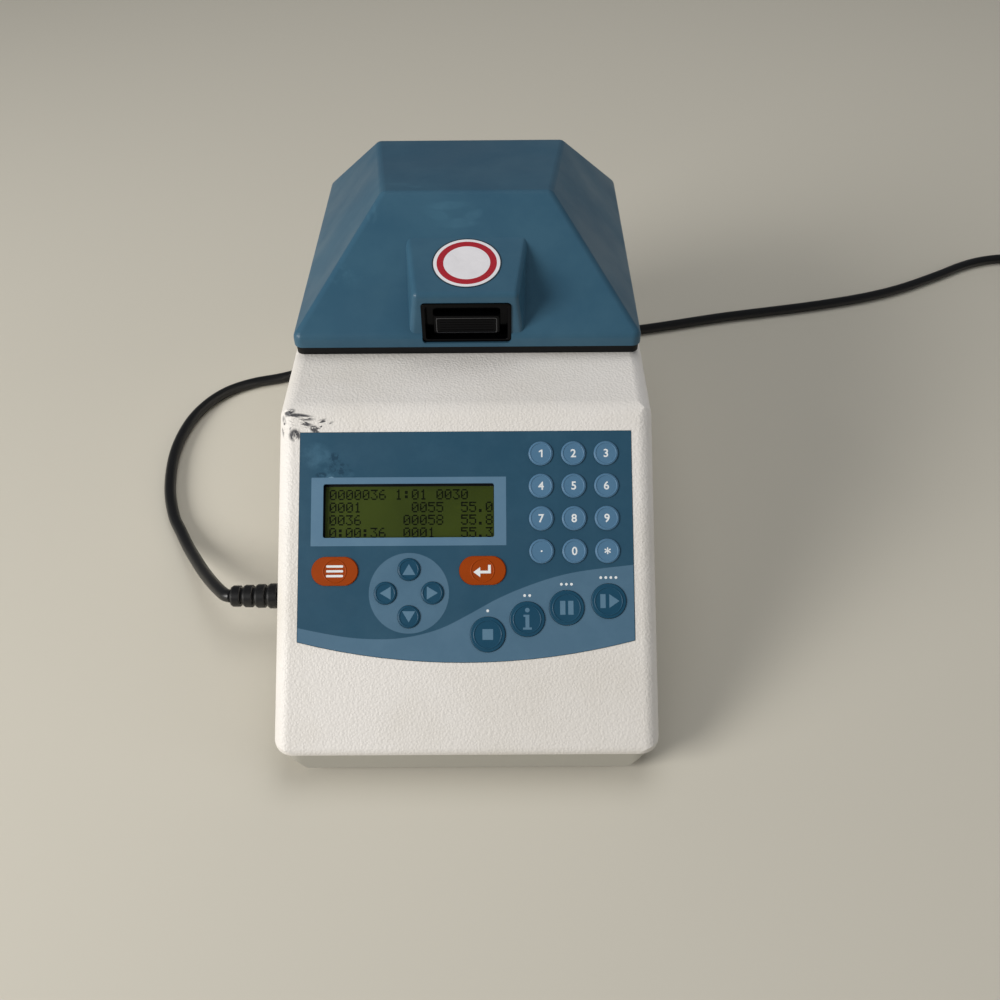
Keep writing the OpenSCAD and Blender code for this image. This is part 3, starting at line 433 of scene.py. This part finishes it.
# %% [markdown]
# ## Finishes
# The white plastic has a leather-like grain: soft pebbles about a millimetre across, parted by
# fine wrinkles. Voronoi cells give the pebbles, and their borders give the wrinkles. Noise bends
# both, so that no straight line is left. A slow noise makes the shade a little dusty.

# %% White grained plastic
white, tree, shader = finish_named("white_grained", "#dcd8d3", 0.5, specular=0.4)
place = add(tree, "ShaderNodeTexCoord")
bend_noise = add(tree, "ShaderNodeTexNoise")
bend_noise.inputs["Scale"].default_value = 420
wander = add(tree, "ShaderNodeVectorMath", operation="MULTIPLY_ADD")
wander.inputs[1].default_value = (1.1 * MM,) * 3
cells = add(tree, "ShaderNodeTexVoronoi", feature="SMOOTH_F1")
cells.inputs["Scale"].default_value = 950
cells.inputs["Smoothness"].default_value = 0.6
tree.links.new(place.outputs["Object"], bend_noise.inputs["Vector"])
tree.links.new(bend_noise.outputs["Color"], wander.inputs[0])
tree.links.new(place.outputs["Object"], wander.inputs[2])
tree.links.new(wander.outputs["Vector"], cells.inputs["Vector"])
relief(tree, shader, cells.outputs["Distance"], 0.26 * MM, 0.7)
dust = spread(tree, noise(tree, 14, 5, 0.6), 0, 1, 0.4, 0.75)
body_colour = shade(tree, shader, dust, "#dedad5", "#d2cdc5")
print("materials so far:", len(bpy.data.materials))

# %% [markdown]
# The left end of the bend was rubbed against something dark. Each rub is a long soft ellipse,
# placed and turned by a Mapping node, and streaky noise breaks it into strokes.

# %% Dark rubs and worn film
def rub(tree, place, reach, turn, low, high, scale, stretch=(1, 1, 1)):
    """A patch of streaks: place and reach in mm, turn in degrees, and where the noise is cut."""
    at = add(tree, "ShaderNodeTexCoord")
    ellipse = add(tree, "ShaderNodeMapping", vector_type="TEXTURE")
    ellipse.inputs["Location"].default_value = [v * MM for v in place]
    ellipse.inputs["Rotation"].default_value = [math.radians(v) for v in turn]
    ellipse.inputs["Scale"].default_value = [v * MM for v in reach]
    tree.links.new(at.outputs["Object"], ellipse.inputs["Vector"])
    far = add(tree, "ShaderNodeVectorMath", operation="LENGTH")
    tree.links.new(ellipse.outputs["Vector"], far.inputs[0])
    inside = spread(tree, far.outputs["Value"], 1, 0, 0.6, 1.0)
    streaks = add(tree, "ShaderNodeMapping", vector_type="TEXTURE")
    streaks.inputs["Rotation"].default_value = [math.radians(v) for v in turn]
    tree.links.new(at.outputs["Object"], streaks.inputs["Vector"])
    narrow = add(tree, "ShaderNodeVectorMath", operation="MULTIPLY")
    narrow.inputs[1].default_value = stretch
    tree.links.new(streaks.outputs["Vector"], narrow.inputs[0])
    pattern = add(tree, "ShaderNodeTexNoise")
    pattern.inputs["Scale"].default_value = scale
    pattern.inputs["Detail"].default_value = 5
    pattern.inputs["Roughness"].default_value = 0.65
    tree.links.new(narrow.outputs["Vector"], pattern.inputs["Vector"])
    both = add(tree, "ShaderNodeMath", operation="MULTIPLY")
    tree.links.new(inside, both.inputs[0])
    tree.links.new(spread(tree, pattern.outputs["Fac"], 0, 1, low, high), both.inputs[1])
    return both.outputs["Value"]


def strongest(tree, masks):
    """The strongest of several masks at each point."""
    value = masks[0]
    for mask in masks[1:]:
        most = add(tree, "ShaderNodeMath", operation="MAXIMUM")
        tree.links.new(value, most.inputs[0])
        tree.links.new(mask, most.inputs[1])
        value = most.outputs["Value"]
    return value


def over(tree, shader, below, mask, colour):
    """Lays a colour over the last one where the mask is strong."""
    mix = add(tree, "ShaderNodeMix", data_type="RGBA")
    tree.links.new(below.outputs["Result"], mix.inputs["A"])
    mix.inputs["B"].default_value = linear(colour)
    tree.links.new(mask, mix.inputs["Factor"])
    tree.links.new(mix.outputs["Result"], shader.inputs["Base Color"])
    return mix


rubs = [
    rub(tree, (-79.6, -46.3, 114.4), (4.6, 2.0, 2.0), (40, 0, 20), 0.43, 0.48, 420, (0.3, 1, 1)),
    rub(tree, (-81.6, -48.2, 112.9), (1.3, 3.0, 3.0), (40, 0, 8), 0.43, 0.5, 420, (1, 0.3, 0.3)),
    rub(tree, (-73.6, -47.9, 113.1), (8.4, 1.9, 1.9), (40, 0, -9), 0.42, 0.48, 420, (0.12, 1, 1)),
    rub(tree, (-73.6, -49.8, 111.5), (7.6, 2.4, 2.4), (40, 0, -17), 0.47, 0.52, 420, (0.1, 1, 1)),
    rub(tree, (-66.8, -52.2, 109.5), (3.6, 1.9, 1.9), (40, 0, -35), 0.43, 0.5, 420, (0.3, 1, 1)),
    rub(tree, (-63.4, -50.6, 110.8), (6.6, 2.8, 2.8), (40, 0, 24), 0.51, 0.55, 420, (0.18, 1, 1)),
    rub(tree, (-75.7, -54.2, 107.8), (3.2, 3.4, 3.4), (40, 0, 0), 0.44, 0.5, 420, (1, 0.3, 0.3)),
    rub(tree, (-79.4, -51.8, 109.8), (3, 6.6, 6.6), (40, 0, 14), 0.54, 0.58, 420, (1, 0.22, 0.22)),
]
over(tree, shader, body_colour, strongest(tree, rubs), "#47474a")
print("rubs on the white plastic:", len(rubs))

# %% [markdown]
# The lid is painted grey-blue, half glossy over a fine texture. Hands have wiped it: the same
# patches as the rubs, with a softer noise and a lighter blue, lie on its front, on its left edge
# and on its top.

# %% Paint of the lid
paint, tree, shader = finish_named("lid_paint", "#33566a", 0.34, specular=0.26)
relief(tree, shader, noise(tree, 700, 3), 0.03 * MM, 0.6)
smudge = spread(tree, noise(tree, 22, 5, 0.65), 0, 1, 0.42, 0.62)
paint_colour = shade(tree, shader, smudge, "#32556a", "#385b6f")
wipes = [
    rub(tree, (-14.0, 42.0, 162.9), (10.0, 3.4, 3.4), (38.5, 0, -30), 0.3, 0.8, 120, (0.6, 1, 1)),
    rub(tree, (-5.0, 38.6, 160.2), (11.5, 3.0, 3.0), (38.5, 0, 2), 0.3, 0.8, 120, (0.6, 1, 1)),
    rub(tree, (3.2, 41.6, 162.6), (7.5, 3.0, 3.0), (38.5, 0, 36), 0.3, 0.8, 120, (0.6, 1, 1)),
    rub(tree, (-9.0, 45.6, 165.7), (12.0, 2.6, 2.6), (38.5, 0, 4), 0.35, 0.8, 120, (0.6, 1, 1)),
    rub(tree, (-45.4, 43.5, 164.2), (3.0, 7.5, 7.5), (38.5, 0, 12), 0.42, 0.7, 260, (1, 0.4, 0.4)),
    rub(tree, (-31.5, 59.5, 169.1), (11.0, 4.0, 4.0), (-7.5, 0, -14), 0.42, 0.66, 210, (0.3, 1, 1)),
    rub(tree, (-57.3, 18.8, 144.6), (9.0, 6.0, 6.0), (38.5, 0, 0), 0.5, 0.72, 150),
]
over(tree, shader, paint_colour, strongest(tree, wipes), "#406579")
uneven(tree, shader, 30, 0.28, 0.42, detail=5)
print("wipes on the lid:", len(wipes))

# %% [markdown]
# The other plastics and metals need only a fine grain and an uneven roughness. The latch is
# almost black and glossy. The raised line round its pad is shinier, and its lighter colour is a
# painted highlight along it.

# %% Plain finishes
grey = plain("grey_base", "#a9a69c", 0.42)
black = plain("black_satin", "#0a0b0d", 0.42, specular=0.2)
polished = {"grain": 300, "depth": 0.008 * MM, "mottle": 0.04}
gloss = plain("black_gloss", "#030304", 0.14, specular=0.12, **polished)
# Lighter than the latch's black: a painted highlight on the pad's raised line, over a really
# glossier finish.
painted_highlight_edge = plain("black_worn_edge", "#232427", 0.22, specular=0.9, **polished)
# The fan's black is lighter than the other blacks. This is painted light that lifts the shade
# inside the housing.
fan_black_painted_lighter = plain("fan_black_painted_lighter", "#303235", 0.45, specular=0.4)
rubber = plain("dull_rubber", "#1a1a1b", 0.7)
steel = plain("plated_steel", "#b9bbbf", 0.3, metallic=1.0)
brass = plain("brass", "#c9a45c", 0.28, metallic=1.0)
print("plain finishes made")

# %% [markdown]
# Metals show how they were worked. The block was milled: fine straight lines. The heat sink is
# an extrusion: longer lines along its fins. Stretched noise makes both.

# %% Worked metals
def lined_metal(name, colour, roughness, stretch):
    """Metal with fine lines along one direction."""
    material, tree, shader = finish_named(name, colour, roughness, metallic=1.0)
    relief(tree, shader, noise(tree, 900, 3, 0.6, stretch), 0.04 * MM, 0.5)
    uneven(tree, shader, 60, roughness - 0.08, roughness + 0.08)
    return material


milled = lined_metal("milled_metal", "#c3c6c9", 0.32, (1, 0.04, 1))
extruded = lined_metal("extruded_metal", "#8f9498", 0.4, (1, 0.02, 1))

# %% Inner parts' finishes
board = plain("circuit_board", "#1f5a3a", 0.45, grain=500)
ceramic = plain("ceramic", "#e6e3dc", 0.6)
carrier_finish = plain("heatproof_plastic", "#cfc09a", 0.55)
film = plain("switch_film", "#b8a97a", 0.5)
finishes = {
    "base_tray": grey, "feet": rubber, "case_screws": steel, "top_housing": white,
    "switch_layer": film, "lcd_module": board, "main_board": board, "power_supply": steel,
    "block_surround": black, "block_gasket": rubber, "sample_block": milled,
    "peltier_modules": ceramic, "heat_sink": extruded, "fan_frame": fan_black_painted_lighter,
    "fan_impeller": fan_black_painted_lighter, "fan_guard": steel, "hinge_lugs": black, "hinge_pins": steel,
    "latch_keeper": steel, "switch_bezel": black, "rocker": gloss, "plug_pins": brass,
    "lid_frame": black, "heated_plate": milled, "plate_carrier": carrier_finish,
    "latch_bezel": gloss, "latch_lever": gloss, "latch_pin": steel, "latch_spring": steel,
    "lid_shell": paint,
}
for name, material in finishes.items():
    dress(name, material)
print("finished solids:", len(finishes))

# %% [markdown]
# ## Keypad
# The keypad lies on the sloped front. All its pieces are drawn flat, x across and -y down the
# slope from the bend, and one matrix lays them on the slope. Heights are measured out of the
# housing's face: the overlay stands 0.2 mm proud, and a key 0.8 mm.

# %% The sloped front
BEND = Vector((0, -45, 115.5))
SLOPE = math.atan2(96, 115)
on_slope = Matrix.Translation(BEND) @ Matrix.Rotation(SLOPE, 4, "X")
OVERLAY_TOP, KEY_TOP = 0.2, 0.8


def lay(bm, x, s, height, turn=0):
    """Moves a drawn plate to its place on the slope."""
    moved = on_slope @ Matrix.Translation((x, -s, height))
    bm.transform(moved @ Matrix.Rotation(math.radians(turn), 4, "Z"))
    return bm


PANEL_HALF, PANEL_SIDE, PANEL_LOW = 73.3, 103.0, 112.1  # half width, foot at the side, foot
bow = PANEL_LOW - PANEL_SIDE
bow_radius = (PANEL_HALF ** 2 + bow ** 2) / (2 * bow)
number_x, number_s, pitch = 47.6, 20.95, 14.4
arrow_pad, arrow_reach, arrow_radius = (-24.8, 82.05), 10.25, 4.9
run_places = [("stop", 9.5, 100.1), ("info", 26.7, 93.6), ("pause", 43.85, 88.8),
              ("continue", 62.15, 86)]
run_radius, wide_s, menu_x, enter_x = 7.6, 72.4, -57.2, 7.35
display = (-62.7, 34.0, 12.5, 57.8)  # left, top, right and foot of the window
print("slope: %.2f degrees, bow radius %.0f mm" % (math.degrees(SLOPE), bow_radius))

# %% Printed finishes
def printed(name, colour, worn, roughness=0.36, specular=0.3):
    """A printed film: satin, with a slow change of shade and a faint orange peel."""
    material, tree, shader = finish_named(name, colour, roughness, specular=specular)
    cloud = spread(tree, noise(tree, 60, 6, 0.7), 0, 1, 0.45, 0.7)
    colours = shade(tree, shader, cloud, colour, worn)
    relief(tree, shader, noise(tree, 1500, 2), 0.012 * MM, 0.5)
    uneven(tree, shader, 35, roughness - 0.06, roughness + 0.08)
    return material, tree, shader, colours


dark_print, tree, shader, colours = printed("panel_print", "#294c61", "#2e5166")
haze = [rub(tree, (-66.0, -61.5, 101.7), (8.5, 6.5, 6.5), (40, 0, -20), 0.4, 0.72, 160),
        rub(tree, (-57.5, -67.5, 96.7), (9, 3.5, 3.5), (40, 0, 0), 0.46, 0.7, 240)]
colours = over(tree, shader, colours, strongest(tree, haze), "#3f647a")
worn_dark = [rub(tree, (-57.8, -62.5, 100.9), (3.2, 3.6, 3.6), (40, 0, 0), 0.47, 0.56, 420),
             rub(tree, (-55.5, -65.9, 98.1), (6.5, 3.4, 3.4), (40, 0, -8), 0.46, 0.55, 420),
             rub(tree, (-63.7, -68.0, 96.3), (3.0, 1.5, 1.5), (40, 0, 0), 0.4, 0.52, 420)]
colours = over(tree, shader, colours, strongest(tree, worn_dark), "#1f3e52")
scratch = rub(tree, (-59.3, -68.9, 95.5), (2.6, 0.7, 0.7), (40, 0, -20), 0.44, 0.54, 900,
              (0.3, 1, 1))
over(tree, shader, colours, scratch, "#7595a9")
light_print = printed("band_print", "#4d6c82", "#527187")[0]
frame_print = printed("frame_print", "#587890", "#5d7d94")[0]
number_skin = printed("number_key", "#4d728f", "#527794", 0.4)[0]
dark_skin = printed("dark_key", "#17435b", "#1c4860", 0.4)[0]
orange_skin = printed("orange_key", "#963c06", "#8e3905", 0.45, 0.15)[0]
white_ink = printed("white_ink", "#dfe3e4", "#d6dadc", 0.5)[0]
sign_ink = printed("sign_ink", "#56778e", "#5b7c92", 0.45)[0]
print("prints and key skins made")

# %% [markdown]
# The overlay is dark blue. A lighter band fills its foot under a long wave, a light disc lies
# under the arrow keys, and a light frame surrounds the display. The wave is a smooth curve
# through a few points, and the foot of the panel is an arc. Holes let the keys through.

# %% Printed zones
def print_zone(name, outlines, ink, x=0, s=0, layer=0.5):
    """Prints on the overlay: layer counts sheets of ink, up to the middle of this one."""
    bm = lay(plate_of(outlines, INK), x, s, OVERLAY_TOP + INK * layer)
    piece(name, bm, ink, "base", "overlay", smooth=False)


edge_gap, key_gap, foot_steps, disc_radius = 0.15, 0.15, 48, 17.5
half = PANEL_HALF - edge_gap
wave = [(-73.3, 96.9), (-59, 99.8), (-46.9, 101.5), (-34.3, 101.9), (-24.8, 101), (-15.8, 99),
        (-8, 96.2), (2.5, 90.8), (14.3, 84.5), (27.1, 79.2), (40, 75.1), (52.8, 72.6), (73.3, 70.3)]
wave_line = curve_through([(x, s, 0) for x, s in wave], 6)
top_line = [(max(-half, min(half, p.x)), -p.y) for p in wave_line]
foot_x = [half * math.cos(math.pi * i / foot_steps) for i in range(foot_steps + 1)]
foot_middle = bow_radius - PANEL_LOW + edge_gap
foot_line = [(x, foot_middle - math.sqrt(bow_radius ** 2 - x * x)) for x in foot_x]
band_outline = top_line + foot_line
run_holes = [circle(x, -s, run_radius + key_gap) for _, x, s in run_places]
print_zone("print_band", [band_outline] + run_holes, light_print)

arrow_holes = [circle(arrow_reach * math.cos(a), arrow_reach * math.sin(a), arrow_radius + key_gap)
               for a in (0, math.pi / 2, math.pi, 3 * math.pi / 2)]
print_zone("print_arrow_disc", [circle(0, 0, disc_radius, 96)] + arrow_holes, light_print,
           *arrow_pad)
frame_outline = rounded(-68.0, -61.4, 17.8, -31.1, 0.2)
window_hole = rounded(display[0], -display[3], display[2], -display[1], 0.9)
print_zone("print_display_frame", [frame_outline, window_hole], frame_print)
print("band outline has", len(band_outline), "points")

# %% [markdown]
# ## Signs on the keys
# Each sign rides on its own key, so it goes down with it. The digits use the built-in letters,
# a little bolder. The 1 there is a plain bar, so it gets an outline with a flag, as do the
# arrows, the bars and the square.

# %% Key skins and digits
DIGIT_SIZE, STAR_SIZE, BOLDER = 5.0, 6.4, 0.1
ONE = [(-0.05, 0), (0.6, 0), (0.6, 3.4), (0.1, 3.4), (-1.0, 2.7), (-1.0, 2.1), (-0.05, 2.6)]
names = [["1", "2", "3"], ["4", "5", "6"], ["7", "8", "9"], ["point", "0", "star"]]
signs = {"point": "\u00b7", "star": "*"}
for row, line_of_names in enumerate(names):
    for column, name in enumerate(line_of_names):
        dress("key_" + name, number_skin)
        if name == "1":
            bm = plate_of([ONE], INK)
        else:
            size = STAR_SIZE if name == "star" else DIGIT_SIZE
            bm = words_of(signs.get(name, name), size, INK, BOLDER)
        middle = [(min(v.co[i] for v in bm.verts) + max(v.co[i] for v in bm.verts)) / 2
                  for i in (0, 1)]
        bmesh.ops.translate(bm, vec=(-middle[0], -middle[1], 0), verts=bm.verts)
        lay(bm, number_x + (column - 1) * pitch, number_s + row * pitch, KEY_TOP + INK / 2)
        piece("sign_" + name, bm, white_ink, "key_" + name + "_body", "key_number", smooth=False)
print("number keys:", sum(len(row) for row in names))

# %% Signs on the arrow keys and the run keys
ARROW_SIZE = 5.7


def triangle(size):
    """A triangle that points along +x, centred."""
    return [(-0.42 * size, -0.5 * size), (0.42 * size, 0), (-0.42 * size, 0.5 * size)]


def box(x0, y0, x1, y1):
    """The four corners of a box."""
    return [(x0, y0), (x1, y0), (x1, y1), (x0, y1)]


def sign(name, outlines, x, s, ink, slot_name, turn=0):
    """Prints separate outlines on a key, each as a piece of its own."""
    for i, outline in enumerate(outlines):
        bm = lay(plate_of([outline], INK), x, s, KEY_TOP + INK / 2, turn)
        part_name = "sign_" + name + ("_%d" % i if len(outlines) > 1 else "")
        piece(part_name, bm, ink, "key_" + name + "_body", slot_name, smooth=False)


for name, turn in (("right", 0), ("up", 90), ("left", 180), ("down", 270)):
    dress("key_" + name, dark_skin)
    a = math.radians(turn)
    sign(name, [triangle(ARROW_SIZE)], arrow_pad[0] + arrow_reach * math.cos(a),
         arrow_pad[1] - arrow_reach * math.sin(a), sign_ink, "key_dark", turn)

run_signs = {
    "stop": [box(-2.3, -2.3, 2.3, 2.3)],
    "info": [circle(0, 3.9, 1.0, 24),
             [(-1.7, 1.9), (0.85, 1.9), (0.85, -3.6), (1.9, -3.6), (1.9, -4.5), (-1.9, -4.5),
              (-1.9, -3.6), (-0.85, -3.6), (-0.85, 1.0), (-1.7, 1.0)]],
    "pause": [box(-2.9, -3.0, -0.6, 3.0), box(0.6, -3.0, 2.9, 3.0)],
    "continue": [box(-3.7, -3.0, -1.4, 3.0), [(0.2, -3.0), (4.6, 0), (0.2, 3.0)]],
}
for name, x, s in run_places:
    dress("key_" + name, dark_skin)
    sign(name, run_signs[name], x, s, sign_ink, "key_dark")

# %% Signs on the wide keys and marks over the run keys
menu_sign = [rounded(-3.7, y - 0.5, 3.7, y + 0.5, 0.35) for y in (-2.1, 0, 2.1)]
enter_sign = [[(3.6, 2.4), (3.6, -1.3), (-1.0, -1.3), (-1.0, -2.9), (-4.0, -0.7), (-1.0, 1.5),
               (-1.0, -0.1), (2.4, -0.1), (2.4, 2.4)]]
for name, x, outlines in (("menu", menu_x, menu_sign), ("enter", enter_x, enter_sign)):
    dress("key_" + name, orange_skin)
    sign(name, outlines, x, wide_s, white_ink, "key_wide")
mark_radius, mark_pitch, mark_gap = 0.6, 2.2, 2.6
for count, (name, x, s) in enumerate(run_places, 1):
    for k in range(count):
        print_zone("mark_%s_%d" % (name, k), [circle(0, 0, mark_radius, 20)], white_ink,
                   x + (k - (count - 1) / 2) * mark_pitch, s - run_radius - mark_gap, layer=1.5)

# %% [markdown]
# ## Display
# A character display of four rows by twenty, each character five dots by seven. It shows plain
# numbers only. Each lit dot is a small square on the olive glass, so the reading is real
# geometry. A black frame lies round the glass. At the right and the foot it is a thin bezel, and at
# the top and the left a wider band is a painted shadow of the recess. The clear window over it is
# thin and dark.

# %% Display
DIGITS = {
    "0": "01110 10001 10011 10101 11001 10001 01110",
    "1": "00100 01100 00100 00100 00100 00100 01110",
    "2": "01110 10001 00001 00110 01000 10000 11111",
    "3": "11111 00010 00100 00010 00001 10001 01110",
    "4": "00010 00110 01010 10010 11111 00010 00010",
    "5": "11111 10000 11110 00001 00001 10001 01110",
    "6": "00110 01000 10000 11110 10001 10001 01110",
    "7": "11111 00001 00010 00100 01000 01000 01000",
    "8": "01110 10001 10001 01110 10001 10001 01110",
    "9": "01110 10001 10001 01111 00001 00010 01100",
    ":": "00000 01100 01100 00000 01100 01100 00000",
    ".": "00000 00000 00000 00000 00000 01100 01100",
}
READING = ["0000036 1:01 0030", "0001      0055  55.0",
           "0036     00058  55.8", "0:00:36  0001   55.3"]
first_x, first_s, column_pitch, row_pitch = -60.2, 36.3, 3.63, 5.63
dot_x, dot_s, dot, DOT_THICK = 0.61, 0.657, 0.605, 0.02
LCD_TOP, BEZEL_AND_SHADOW_THICK = -1.88, 0.1
screen_ink, tree, shader = finish_named("lcd_dots", "#050703", 0.6, specular=0.1)
relief(tree, shader, noise(tree, 1500, 2), 0.01 * MM)
lcd_glass, tree, shader = finish_named("lcd_olive", "#3a4614", 0.35, specular=0.3)
shade(tree, shader, spread(tree, noise(tree, 25, 3), 0, 1), "#364213", "#404d17")
relief(tree, shader, noise(tree, 1200, 2), 0.01 * MM)
dots = bmesh.new()
for row, text in enumerate(READING):
    for column, character in enumerate(text):
        for j, bits in enumerate(DIGITS.get(character, "").split()):
            for i, bit in enumerate(bits):
                if bit == "1":
                    x = first_x + column * column_pitch + (i + 0.5) * dot_x
                    y = -first_s - row * row_pitch - (j + 0.5) * dot_s
                    bmesh.ops.create_grid(dots, x_segments=1, y_segments=1, size=dot / 2,
                                          matrix=Matrix.Translation((x, y, 0)))
print("lit dots:", len(dots.faces))
bmesh.ops.solidify(dots, geom=dots.faces, thickness=DOT_THICK)
bmesh.ops.recalc_face_normals(dots, faces=dots.faces)
piece("display_dots", lay(dots, 0, 0, LCD_TOP + DOT_THICK), screen_ink, "base", "lcd", smooth=False)

# %% Bezel, painted shadow and window of the display
glass_edge = rounded(display[0] - 0.4, -display[3] - 0.4, display[2] + 0.4, -display[1] + 0.4, 0.5)
# The opening sits 1 mm in at the top and 0.7 mm in at the left. There the black plate is a painted
# shadow of the recess, and at the right and the foot it is a thin bezel.
glass_open = rounded(display[0] + 0.7, -display[3] + 0.1, display[2] - 0.2, -display[1] - 1.0, 0.3)
mask = plate_of([glass_edge, glass_open], BEZEL_AND_SHADOW_THICK)
piece("display_bezel_and_painted_shadow", lay(mask, 0, 0, LCD_TOP + 0.08), black, "base", "lcd", smooth=False)
clear, tree, shader = finish_named("clear_window", "#0e120c", 0.08, specular=0.3)
shader.inputs["Alpha"].default_value = 0.04
relief(tree, shader, noise(tree, 300, 2), 0.004 * MM)
dress("lcd_module", lcd_glass)
dress("lcd_window", clear)
dress("key_overlay", dark_print)
print("display masked")

# %% [markdown]
# ## Latch and sticker
# The latch sits in a black glossy recess in the lid's raised housing. The real recess has a
# moulded rim, and its pad a thin raised line with fine ribs inside it. Each is drawn flat as a
# plate, bevelled so that it catches the light, and turned upright. The rim rides on the lid and
# the pad's face on the latch, so it tips back with the lever.

# %% Rim of the latch and face of its pad
SHARP = 0.9  # radians
upright = Matrix.Rotation(math.radians(90), 4, "X")


def stand(bm, y, z):
    """Turns a drawn plate to face the front, at that depth and height."""
    bm.transform(Matrix.Translation((0, y, z)) @ upright)


def soften(bm, width, segments=3):
    """Bevels the sharp edges of a plate."""
    closed = [edge for edge in bm.edges if len(edge.link_faces) == 2]
    sharp = [edge for edge in closed if edge.calc_face_angle() > SHARP]
    bmesh.ops.bevel(bm, geom=sharp, offset=width, offset_type="OFFSET", segments=segments,
                    profile=0.5, affect="EDGES", material=-1, clamp_overlap=True)
    return bm


def hollow(half, half_high, wide, outer_round, inner_round):
    """The outlines of a bar bent round a box: its outer edge, and the hole inside it."""
    return [rounded(-half, -half_high, half, half_high, outer_round),
            rounded(-half + wide, -half_high + wide, half - wide, half_high - wide, inner_round)]


rim_low, rim_high, rim_half, rim_thick = 122.2, 142.8, 20.6, 0.9
rim = plate_of(hollow(rim_half, (rim_high - rim_low) / 2, wide=1.5, outer_round=1.8,
                      inner_round=1.2), rim_thick)
stand(soften(rim, 0.3), y=-3.6, z=(rim_low + rim_high) / 2)
piece("latch_rim", rim, gloss, "lid", "black_gloss")

pad_half, pad_low, pad_high, pad_thick = 15.2, 124.7, 134.7, 0.8
pad_middle, half_high = (pad_low + pad_high) / 2, (pad_high - pad_low) / 2
pad = plate_of([rounded(-pad_half, -half_high, pad_half, half_high, 1.2)], pad_thick)
stand(soften(pad, 0.25), y=-0.95, z=pad_middle)
piece("latch_pad_face", pad, gloss, "latch", "black_gloss")

# %% Line and ribs on the pad
line_half, line_thick = pad_half - 1.0, 0.5
pad_line = plate_of(hollow(line_half, half_high - 0.9, wide=0.4, outer_round=1.0,
                           inner_round=0.7), line_thick)
stand(soften(pad_line, 0.12, segments=2), y=-1.45, z=pad_middle)
# The line takes the lighter black with the painted highlight.
piece("latch_pad_line", pad_line, painted_highlight_edge, "latch", "black_gloss")

RIBS, rib_half, rib_half_high, rib_pitch, rib_thick = 5, line_half - 1.6, 0.2, 1.35, 0.4
for k in range(RIBS):
    rib = plate_of([rounded(-rib_half, -rib_half_high, rib_half, rib_half_high, 0.19)], rib_thick)
    stand(soften(rib, 0.1, segments=2), y=-1.3, z=pad_middle + (k - (RIBS - 1) / 2) * rib_pitch)
    piece("latch_pad_rib_%d" % k, rib, gloss, "latch", "black_gloss")
print("latch pieces made")

# %% [markdown]
# A round white sticker lies on the housing's top. It is left bare but for a plain red ring and
# a thin dark line round its edge. The top slopes, so the sticker is laid on the same slope.

# %% Sticker
paper = printed("sticker_white", "#dedcdf", "#d6d4d7", 0.3)[0]
red_ring = printed("sticker_red", "#a3202c", "#9c1f2a", 0.32)[0]
thin_dark = printed("sticker_edge", "#24323b", "#27363f", 0.35)[0]
sticker_place, top_tilt, PAPER = (0.3, 16.4, 152.05), math.radians(12.55), 0.1
on_boss = Matrix.Translation(sticker_place) @ Matrix.Rotation(top_tilt, 4, "X")


def round_print(name, radii, height, finish, slot_name):
    """A disc or a ring of paper on the sloped top."""
    plate = plate_of([circle(0, 0, radius, 96) for radius in radii], PAPER)
    plate.transform(on_boss @ Matrix.Translation((0, 0, height)))
    piece(name, plate, finish, "lid", slot_name, smooth=False)


round_print("sticker", (15.7,), 0.05, paper, "white_shell")
round_print("sticker_edge", (16.2, 15.6), 0.07, thin_dark, "overlay")
round_print("sticker_ring", (14.0, 10.9), 0.08, red_ring, "overlay")

# %% [markdown]
# ## Mains switch
# The rocker at the back has two faces that meet in a shallow V. Each carries the usual printed
# mark, a bar for on and a ring for off. The marks ride on the rocker and tip with it.

# %% Marks on the rocker
rocker_axis, rocker_tilt, face_height = Vector((-58, 154.353, 40)), 6.0, 4.2
face_slant = math.degrees(math.atan2(1.4, 7.4))
switch_marks = [("on", 3.7, face_slant, [box(-0.35, -1.6, 0.35, 1.6)]),
                ("off", -3.7, -face_slant, [circle(0, 0, 1.7, 32), circle(0, 0, 1.1, 32)])]
for name, along, slant, outlines in switch_marks:
    turned = Matrix.Rotation(math.radians(rocker_tilt), 2)
    across, out_of = turned @ Vector((along, face_height))
    face = Matrix.Rotation(math.radians(rocker_tilt + slant - 90), 4, "X")
    mark = plate_of(outlines, INK)
    mark.transform(Matrix.Translation(rocker_axis + Vector((0, out_of, -across))) @ face
                   @ Matrix.Translation((0, 0, INK)))
    piece("rocker_mark_" + name, mark, white_ink, "switch", "black_gloss", smooth=False)

# %% Bounds of the imported model and of the finished scene
size = {"cad": [list(v) for v in cad_box], "visual": [list(v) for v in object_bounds()]}
